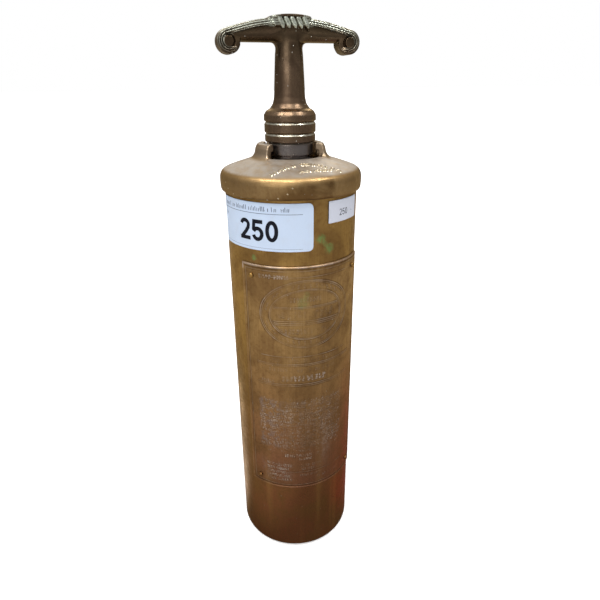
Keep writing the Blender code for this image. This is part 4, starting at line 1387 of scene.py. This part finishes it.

# darker at the foot of every mark, line and edge
blur = relief_depth.copy()
for _ in range(5):
    blur = (blur + np.roll(blur, 1, 0) + np.roll(blur, -1, 0) + np.roll(blur, 1, 1)
            + np.roll(blur, -1, 1)) / 5
darkening = np.clip(blur * 2.2 - relief_depth * 1.5, 0, 1)
darkening = np.maximum(darkening, groove * line_keep * (1 - step01(0.25, 0.6, relief_depth)))
side_edge = (PLATE_HALF - np.abs(ARC)) < np.minimum(LEVEL - P_LOW, P_TOP - LEVEL)
darkening = np.maximum(darkening, np.exp(-(((edge_in - 1.9) / 0.45) ** 2)) * np.where(side_edge, 0.25, 0.8))
darkening = np.maximum(darkening, np.exp(-((edge_in / 0.35) ** 2)) * np.where(side_edge, 0.35, 0.9))

# a film of soil over the close rows
haze = value_noise(2.2, seed=31) * 0.5 + fray * 0.5
soil = band(88, 92, 125, 129, LEVEL) * (0.25 + 0.5 * (1 - step01(-22, -16, ARC)))
soil = soil * (1 - step01(20, 26, ARC))
soil = soil + 0.35 * band(60, 64, 76, 80, LEVEL) * (1 - step01(-14, -8, ARC))
soil = soil * step01(0.40, 0.62, haze) * step01(-34.5, -31.5, ARC)

# pale crests, one painted highlight (a soft pale patch) and pale flecks
painted_highlight_patch = np.exp(-(((ARC - 12.0) / 3.6) ** 2) - ((LEVEL - 93.0) / 13.0) ** 2)
painted_highlight_patch = painted_highlight_patch * (0.35 + 0.65 * step01(0.4, 0.6, haze))
fleck = step01(0.70, 0.80, fray) * band(84, 90, 126, 130, LEVEL) * band(-33.5, -31.5, 24, 27, ARC)
crests = pale * (0.45 + 0.55 * step01(0.3, 0.6, wear))
# the bead along the top edge is painted pale: a painted highlight
pale_wear_and_highlight = np.clip(np.maximum(crests, bead * 0.45 * (LEVEL > P_TOP - 4)), 0, 1)
pale_wear_and_highlight = np.maximum(pale_wear_and_highlight, np.maximum(painted_highlight_patch * 0.5, fleck * 0.55))

EDGE_R = 39.34  # of the face at its very edge
face_r = 39.58 + 0.17 * relief_depth + 0.26 * bead + 0.05 * (value_noise(9.0, seed=8) - 0.5)
face_r = EDGE_R + (face_r - EDGE_R) * step01(0.0, 0.35, edge_in)
angle = ARC / PLATE_R + PLATE_MID
skins = [on_tube(radius, angle, LEVEL).reshape(-1, 3) for radius in (face_r, BACK_R)]
plate = mesh_from("plate_relief", np.concatenate(skins), sheet_faces(COLUMNS, ROWS), MAT["plate"])
for key, values in (("pale_wear_and_highlight", pale_wear_and_highlight), ("foot", darkening), ("soil", soil)):
    add_attribute(plate, key, np.concatenate([values.ravel(), np.zeros(ARC.size)]))
attach(plate, "casing", "name_plate")

# four drive pins: (radius, distance from the tube's axis, corner radius)
NAIL_SECTION = [
    (0, 39.2, 0), (0.65, 39.2, 0.1), (0.65, 39.7, 0), (1.65, 39.75, 0.15), (1.55, 40.3, 0.4),
    (0.9, 40.85, 0.5), (0, 40.98, 0),
]
NAIL_PLACES = ((-52.0, 209.2), (50.0, 209.2), (-52.0, 62.2), (50.0, 62.2))  # degrees, z
for k, (angle, z) in enumerate(NAIL_PLACES, 1):
    nail = lathe(f"drive_pin_{k}", fillet(NAIL_SECTION, 4), MAT["shell"], steps=40)
    aim(nail, Vector(on_tube(1.0, math.radians(angle), 0.0)), (0, 0, z))
    attach(nail, "casing", f"plate_pin_{k}")

# ---- paper labels
LABEL_R = 39.4  # where distances round the labels are measured
PAPER_R = 39.44
LOT_Z = (225.0, 251.6)


def arc_mm(angle):
    return math.radians(angle) * LABEL_R


def sticker(name, node, angles, heights, corners, material, lift):
    """A thin sheet wrapped on the tube.

    corners: radii at (low left, low right, high right, high left); lift: height of the face
    from its distances to the left and right edges and z.
    """
    start, end = (arc_mm(angle) for angle in angles)
    columns = np.concatenate([start + np.linspace(0, 3.2, 13),
                              np.linspace(start + 3.6, end - 3.6, 60),
                              end - np.linspace(3.2, 0, 13)])
    rows = np.linspace(0, 1, 25)
    points = []
    for arc in columns:
        low, high = heights
        places = ((True, True), (True, False), (False, False), (False, True))
        for radius, (is_low, is_left) in zip(corners, places):
            inset = arc - start if is_left else end - arc
            if radius > 0 and inset < radius:
                cut = radius - math.sqrt(max(0, radius * radius - (radius - inset) ** 2))
                if is_low:
                    low = max(low, heights[0] + cut)
                else:
                    high = min(high, heights[1] - cut)
        for t in rows:
            z = low + (high - low) * t
            points.append((arc, z, lift(arc - start, end - arc, z)))
    arcs, zs, lifts = np.array(points).T
    skins = [on_tube(radius + lifts, arcs / LABEL_R, zs) for radius in (PAPER_R, BACK_R)]
    faces = sheet_faces(len(columns), len(rows))
    obj = mesh_from(name, np.concatenate(skins), faces, material, sharp=40)
    attach(obj, "casing", node)


def lot_curl(left, right, z):
    return 0.22 * math.exp(-right / 1.3) + 0.10 * math.exp(-abs(z - LOT_Z[0]) / 1.0)


def price_curl(left, right, z):
    return 0.12 * math.exp(-left / 1.0)


sticker("lot_sheet", "lot_label", (-88.4, 2.0), LOT_Z, (0, 2.8, 2.8, 0), MAT["label"], lot_curl)
sticker("price_sheet", "price_label", (15.6, 52.6), (239.2, 251.4), (0.2,) * 4, MAT["price"],
        price_curl)


def printed(name, shapes, material, depth):
    """Convex (distance round the tube, z) outlines, wrapped on the paper as thin solids."""
    solid = bmesh.new()
    for outline in shapes:
        face = solid.faces.new([solid.verts.new((arc, 0, z)) for arc, z in outline])
        grown = bmesh.ops.extrude_face_region(solid, geom=[face])["geom"]
        verts = [part for part in grown if isinstance(part, bmesh.types.BMVert)]
        bmesh.ops.translate(solid, vec=(0, 1, 0), verts=verts)
    low = min(vert.co.x for vert in solid.verts)
    high = max(vert.co.x for vert in solid.verts)
    pitch = 0.7  # between cuts that let the shapes bend
    x = low + pitch
    while x < high:
        everything = solid.verts[:] + solid.edges[:] + solid.faces[:]
        bmesh.ops.bisect_plane(solid, geom=everything, plane_co=(x, 0, 0), plane_no=(1, 0, 0))
        x += pitch
    for vert in solid.verts:
        radius = PAPER_R + (depth if vert.co.y < 0.5 else -0.1)
        vert.co = Vector(on_tube(radius, vert.co.x / LABEL_R, vert.co.z)) * MM
    attach(from_bmesh(name, solid, material), "casing")


def thick_path(points, width):
    """Quads along a path, as separate convex shapes that share their ends."""
    pts = [np.array(p, float) for p in points]
    loop = np.linalg.norm(pts[0] - pts[-1]) < 1e-6
    last = len(pts) - 1
    offsets = []
    for i in range(len(pts)):
        before = pts[-2] if loop and i == 0 else pts[max(0, i - 1)]
        after = pts[1] if loop and i == last else pts[min(last, i + 1)]
        along = (after - before) / np.linalg.norm(after - before)
        offsets.append(np.array([-along[1], along[0]]) * width / 2)
    out = []
    for i in range(last):
        quad = [pts[i] - offsets[i], pts[i + 1] - offsets[i + 1], pts[i + 1] + offsets[i + 1],
                pts[i] + offsets[i]]
        out.append([tuple(corner) for corner in quad])
    return out


def elliptic(centre_x, centre_y, half_x, half_y, degrees):
    return [(centre_x + half_x * math.cos(math.radians(a)),
             centre_y + half_y * math.sin(math.radians(a))) for a in degrees]


def digit(which, left, low, width, height, line):
    """A plain 0, 2 or 5 in a box of the given width and height."""
    x, y = left + line / 2, low + line / 2
    wide, tall = width - line, height - line
    half = wide / 2
    if which == "0":
        ring = elliptic(x + half, y + tall / 2, half, tall / 2, [90 - 360 * k / 28 for k in range(29)])
        return thick_path(ring, line)
    if which == "2":
        hook = elliptic(x + half, y + tall - half * 0.95, half, half * 0.95, range(170, -1, -15))
        end_x, end_y = hook[-1]
        hook += [(end_x - 0.06 * wide, end_y - 0.16 * tall), (x + wide * 0.62, y + tall * 0.36),
                 (x + wide * 0.22, y + tall * 0.14), (x + 0.02 * wide, y)]
        foot = [(x - line / 2, y), (x + wide + line / 2, y)]
        return thick_path(hook, line) + thick_path(foot, line)
    flag = [(x + wide + line * 0.3, y + tall), (x + 0.06 * wide, y + tall)]
    stem = [(x + 0.12 * wide, y + tall + line / 2), (x + 0.02 * wide, y + tall * 0.5)]
    bowl = elliptic(x + half, y + tall * 0.30, half * 1.02, tall * 0.31, range(155, -166, -16))
    return thick_path(flag, line) + thick_path(stem, line * 0.95) + thick_path(bowl, line)


def digits(text, left, pitch, **size):
    return [quad for k, which in enumerate(text) for quad in digit(which, left + pitch * k, **size)]


def oblong(left, right, low, high, lean=0.0):
    return [(left, low), (right, low), (right + lean, high), (left + lean, high)]


def heading_marks():
    """A line of small marks in place of a heading."""
    rng = np.random.default_rng(8)
    low = 247.0
    shapes = []
    x = arc_mm(-84.0)
    while x < arc_mm(-16.5):
        if rng.random() < 0.14:
            x += 1.1
            continue
        tall = 2.6 if rng.random() < 0.3 else 1.8
        lean = rng.uniform(-0.25, 0.25)
        right = x + rng.uniform(0.3, 0.5)
        shapes.append(oblong(x, right, low, low + tall, lean))
        if rng.random() < 0.3:
            dot = low + rng.uniform(0.2, 1.3)
            shapes.append(oblong(right, right + 0.35, dot, dot + 0.4))
        x += rng.uniform(0.8, 1.3)
    return shapes


# two rules and two small marks: left and right in degrees, low z, high z, lean in degrees
LOT_RULES = ((-86, -6.5, 245.55, 245.85, 0), (-86, -6.5, 226.4, 226.55, 0),
             (-84.5, -84.0, 241.6, 243.4, 0.4), (-82.6, -82.0, 241.6, 242.8, 0.2))
lot_digits = digits("250", arc_mm(-61.6), pitch=8.55, low=230.3, width=7.4, height=11.9, line=2.15)
printed("lot_digits", lot_digits, MAT["ink"], depth=0.045)
printed("lot_heading_marks", heading_marks(), MAT["grey_ink"], depth=0.03)
rules = [oblong(arc_mm(left), arc_mm(right), low, high, arc_mm(lean))
         for left, right, low, high, lean in LOT_RULES]
printed("lot_rule", rules, MAT["grey_ink"], depth=0.03)
price = digits("250", arc_mm(27.0), pitch=2.5, low=242.6, width=1.9, height=3.6, line=0.36)
price.append(oblong(arc_mm(43.5), arc_mm(43.5) + 0.5, 243.6, 244.1))
printed("price_digits", price, MAT["ink"], depth=0.03)

# ---- worn raised marks on the front of the dome
DOME_LINE = np.array(dome_top)[::-1]
dome_solid = bmesh.new()
dome_rng = np.random.default_rng(21)


def dome_mark(across, ahead, width, tall, lean):
    """A low rounded bar; across runs along X, ahead is the distance from the axis to the front."""
    columns, rows = 4, 6
    grid = []
    for i in range(columns + 1):
        line = []
        for j in range(rows + 1):
            back = (j / rows - 0.5) * tall
            x = across + (i / columns - 0.5) * width + lean * back
            y = -(ahead - back)
            dome_z = float(np.interp(math.hypot(x, y), DOME_LINE[:, 0], DOME_LINE[:, 1]))
            edge = min(1.0, 3.2 * min(i, columns - i) / columns)
            edge *= min(1.0, 4.0 * min(j, rows - j) / rows)
            z = dome_z - 0.12 + 0.62 * edge**0.5
            line.append(dome_solid.verts.new((x * MM, y * MM, z * MM)))
        grid.append(line)
    new_face = dome_solid.faces.new
    for i, j in product(range(columns), range(rows)):
        new_face((grid[i][j], grid[i + 1][j], grid[i + 1][j + 1], grid[i][j + 1]))
    border = [grid[i][0] for i in range(columns)] + [grid[columns][j] for j in range(rows)]
    border += [grid[i][rows] for i in range(columns, 0, -1)]
    border += [grid[0][j] for j in range(rows, 0, -1)]
    feet = [dome_solid.verts.new((v.co.x, v.co.y, v.co.z - 0.0002)) for v in border]
    for i in range(len(border)):
        j = (i + 1) % len(border)
        new_face((border[j], border[i], feet[i], feet[j]))
    new_face(feet)


def dome_row(start, end, ahead_at, gaps, widths, tall, lean, fan, dots, dot, steps):
    """A row of marks.

    fan: added lean per mm across; dots: share of marks with a dot beside them;
    dot: (step across, reach ahead and back, height); steps: range of the spacing.
    """
    across = start
    while across < end:
        ahead = ahead_at(across)
        if dome_rng.random() > gaps:
            width = dome_rng.uniform(*widths)
            dome_mark(across, ahead, width, tall, dome_rng.uniform(-lean, lean) + across * fan)
            if dome_rng.random() < dots:
                aside, reach, dot_tall = dot
                dot_ahead = ahead + dome_rng.uniform(-reach, reach)
                dome_mark(across + aside, dot_ahead, 0.9, dot_tall, 0)
        across += dome_rng.uniform(*steps)


dome_row(-19.5, 19.5, lambda s: 33.2 - 7.2 * math.cos(math.radians(s / 21 * 78)) ** 1.2, gaps=0.1,
         widths=(0.7, 1.05), tall=3.5, lean=0.3, fan=0.02, dots=0.5, dot=(0.8, 1.3, 0.8),
         steps=(1.35, 1.9))
dome_row(-4.0, 13.5, lambda s: 33.6 - 0.010 * s * s, gaps=0.08, widths=(0.7, 1.0), tall=2.9,
         lean=0.25, fan=0, dots=0.6, dot=(0.75, 1.0, 0.6), steps=(1.4, 1.8))
dome_marks = from_bmesh("dome_marks", dome_solid, MAT["marks"])
dome_marks.data.shade_smooth()
attach(dome_marks, "casing")

# ---- materials and shading of the frame's own pieces
SLOT_OF = {part["node"]: part["material_slot"] for part in frame["record"]["subparts"]}
LOOK = {"shell_brass": "shell", "head_brass": "head", "handle_bronze": "handle",
        "plate_brass": "plate", "inner_brass": "inner", "steel": "steel", "leather": "leather",
        "packing": "packing", "paper": "label"}
for name, obj in frame["nodes"].items():
    obj.data.materials.clear()
    obj.data.materials.append(MAT[LOOK.get(SLOT_OF.get(name, "inner_brass"), "inner")])
    smooth(obj.data, sharp=33)

# ---- the floor: white to the camera; in reflections darker, with painted reflection patches and a glowing painted highlight
CAMERA_TURN = -15.5  # degrees about Z, from the front


def from_camera(azimuth):
    """The heading, in radians, of an azimuth in degrees to the right of the camera's side."""
    return math.radians(-90 + CAMERA_TURN + azimuth)


def floor_patch(mat, azimuth, start, end, width, offset=0.0, near=0.7):
    """A soft patch on the floor, start to end mm from the axis and offset to one side."""
    heading = from_camera(azimuth)
    cos, sin = math.cos(heading), math.sin(heading)
    along = mat.vector("DOT_PRODUCT", mat.mm, (cos, sin, 0), out="Value")
    across = mat.vector("DOT_PRODUCT", mat.mm, (-sin, cos, 0), out="Value")
    mask = mat.times(mat.ramp(along, start * near, start * 1.2),
                     mat.ramp(along, end * 0.8, end * 1.2, low=1.0, high=0.0))
    aside = mat.math("ABSOLUTE", mat.minus(across, offset))
    return mat.times(mask, mat.ramp(aside, width * 0.3, width * 1.2, low=1.0, high=0.0))


def pale_floor():
    mat = Graph("pale_floor", metal=0.0)
    grain = mat.noise(scale=0.02, rough=0.5)
    rays = mat.node("ShaderNodeLightPath").outputs
    view = rays["Is Camera Ray"]
    spread = mat.vector("LENGTH", mat.mm, out="Value")
    mat.col = mat.colours(mat.ramp(spread, start=39, end=740, smooth=False), [
        (0.0, (0.20, 0.18, 0.16)), (0.15, (0.24, 0.22, 0.20)), (0.33, (0.36, 0.34, 0.31)),
        (0.66, (0.50, 0.48, 0.45)), (1.0, (0.56, 0.55, 0.53)),
    ])
    # patches seen only in reflections: painted reflections in the brass (warm, red and yellow), and a
    # pale streak as a painted highlight down the tube's left side
    broad = floor_patch(mat, azimuth=-52, start=60, end=700, width=150)
    mat.tint(mat.times(broad, 0.30), (0.80, 0.74, 0.66))
    streak = floor_patch(mat, azimuth=-139, start=70, end=240, width=13, offset=38, near=0.3)
    mat.tint(mat.times(streak, 0.9), (1.0, 0.96, 0.92))
    red = floor_patch(mat, azimuth=132, start=42, end=240, width=60, offset=-30, near=0.3)
    mat.tint(mat.times(red, 0.72), (0.44, 0.15, 0.17))
    yellow = floor_patch(mat, azimuth=152, start=330, end=620, width=60)
    mat.tint(mat.times(yellow, 0.75), (0.95, 0.80, 0.25))
    pale = mat.mix(mat.ramp(grain, start=0.3, end=0.7), (0.80,) * 3, (0.84,) * 3)
    mat.tint(mat.plus(view, rays["Is Diffuse Ray"], clamp=True), pale)
    mat.rough = 0.9
    inputs = mat.shader.inputs
    mat.put(inputs["Emission Color"], mat.mix(view, (0.78, 0.95, 1.35), (1.0, 1.0, 1.0)))
    glow = mat.ramp(spread, start=90, end=420, low=0.45)
    # the streak also glows in reflections: a painted highlight, though no lamp
    gloss = mat.times(mat.times(rays["Is Glossy Ray"], streak), 2.6)
    mat.put(inputs["Emission Strength"], mat.plus(mat.times(view, glow), gloss))
    return mat.finish(specular=0.1)


floor_material = pale_floor()
bpy.ops.mesh.primitive_plane_add(size=60.0, location=(0, 0, -0.0002))
floor = bpy.context.object
floor.name = "floor"
floor.data.materials.append(floor_material)

# ---- the world: darker below, and white to the camera
scene = bpy.context.scene
world = bpy.data.worlds.new("studio")
scene.world = world
world.use_nodes = True
sky = Nodes(world.node_tree)
background = sky.tree.nodes["Background"]
generated = sky.node("ShaderNodeTexCoord").outputs["Generated"]
sky_stops = [(0.0, (0.14, 0.125, 0.11))]
sky_stops += [(position, (grey, grey * 0.97, grey * 0.95))
              for position, grey in ((0.5, 0.26), (0.62, 0.44), (0.8, 0.66))]
sky_stops += [(1.0, (0.92, 0.92, 0.94))]
gradient = sky.colours(sky.math("MULTIPLY_ADD", sky.z_of(generated), 0.5, 0.5), sky_stops)
camera_ray = sky.node("ShaderNodeLightPath").outputs["Is Camera Ray"]
sky.put(background.inputs["Color"], sky.mix(camera_ray, gradient, (1, 1, 1)))
background.inputs["Strength"].default_value = 1.0

# ---- lamps
LAMP_TARGET = Vector((0, 0, 0.2))


def softbox(name, azimuth, elevation, distance, size, power, colour=(1, 1, 1)):
    """A rectangular soft light. azimuth: degrees to the right of the camera's side."""
    heading, rise = from_camera(azimuth), math.radians(elevation)
    level = math.cos(rise)
    away = Vector((math.cos(heading) * level, math.sin(heading) * level, math.sin(rise)))
    lamp = bpy.data.lights.new(name, "AREA")
    lamp.shape = "RECTANGLE"
    lamp.size, lamp.size_y = size
    lamp.energy = power
    lamp.color = colour
    obj = link(name, lamp)
    where = LAMP_TARGET + distance * away
    obj.location = where
    obj.rotation_euler = (LAMP_TARGET - where).to_track_quat("-Z", "Y").to_euler()


# name, azimuth, elevation, distance, size, power, colour
for entry in (
    ("left_lamp", -58, 58, 1.3, (0.22, 0.22), 5.0, (1.0, 0.98, 0.95)),
    ("front_lamp", -8, 62, 1.3, (0.5, 0.4), 6.0, (1.0, 0.97, 0.93)),
    ("right_lamp", 70, 58, 1.3, (0.22, 0.22), 5.0, (1.0, 0.98, 0.96)),
    ("wide_front", -20, 22, 1.6, (1.1, 0.8), 5.0),
    ("back_right", 163, 32, 1.4, (0.16, 0.16), 0.9),
    ("back_left", -162, 26, 1.4, (0.3, 0.3), 0.5),
):
    softbox(*entry)

# ---- camera: placed in front of the tube, then swung round it by CAMERA_TURN
CAMERA_PLACE = (0.0, -0.2975505, 0.30919405)
YAW, PITCH, ROLL = 0.0164234, 0.412003, -0.0082226  # radians: to the right, down, about the view
camera = bpy.data.cameras.new("camera")
camera.sensor_width = 36.0
camera.lens = 29.61024
camera.clip_start = 0.01
camera_obj = link("camera", camera)
camera_obj.matrix_world = (
    Matrix.Rotation(math.radians(CAMERA_TURN), 4, "Z")
    @ Matrix.Translation(CAMERA_PLACE)
    @ Matrix.Rotation(-YAW, 4, "Z")
    @ Matrix.Rotation(math.pi / 2 - PITCH, 4, "X")
    @ Matrix.Rotation(ROLL, 4, "Z")
)
scene.camera = camera_obj
scene.view_settings.view_transform = "Standard"
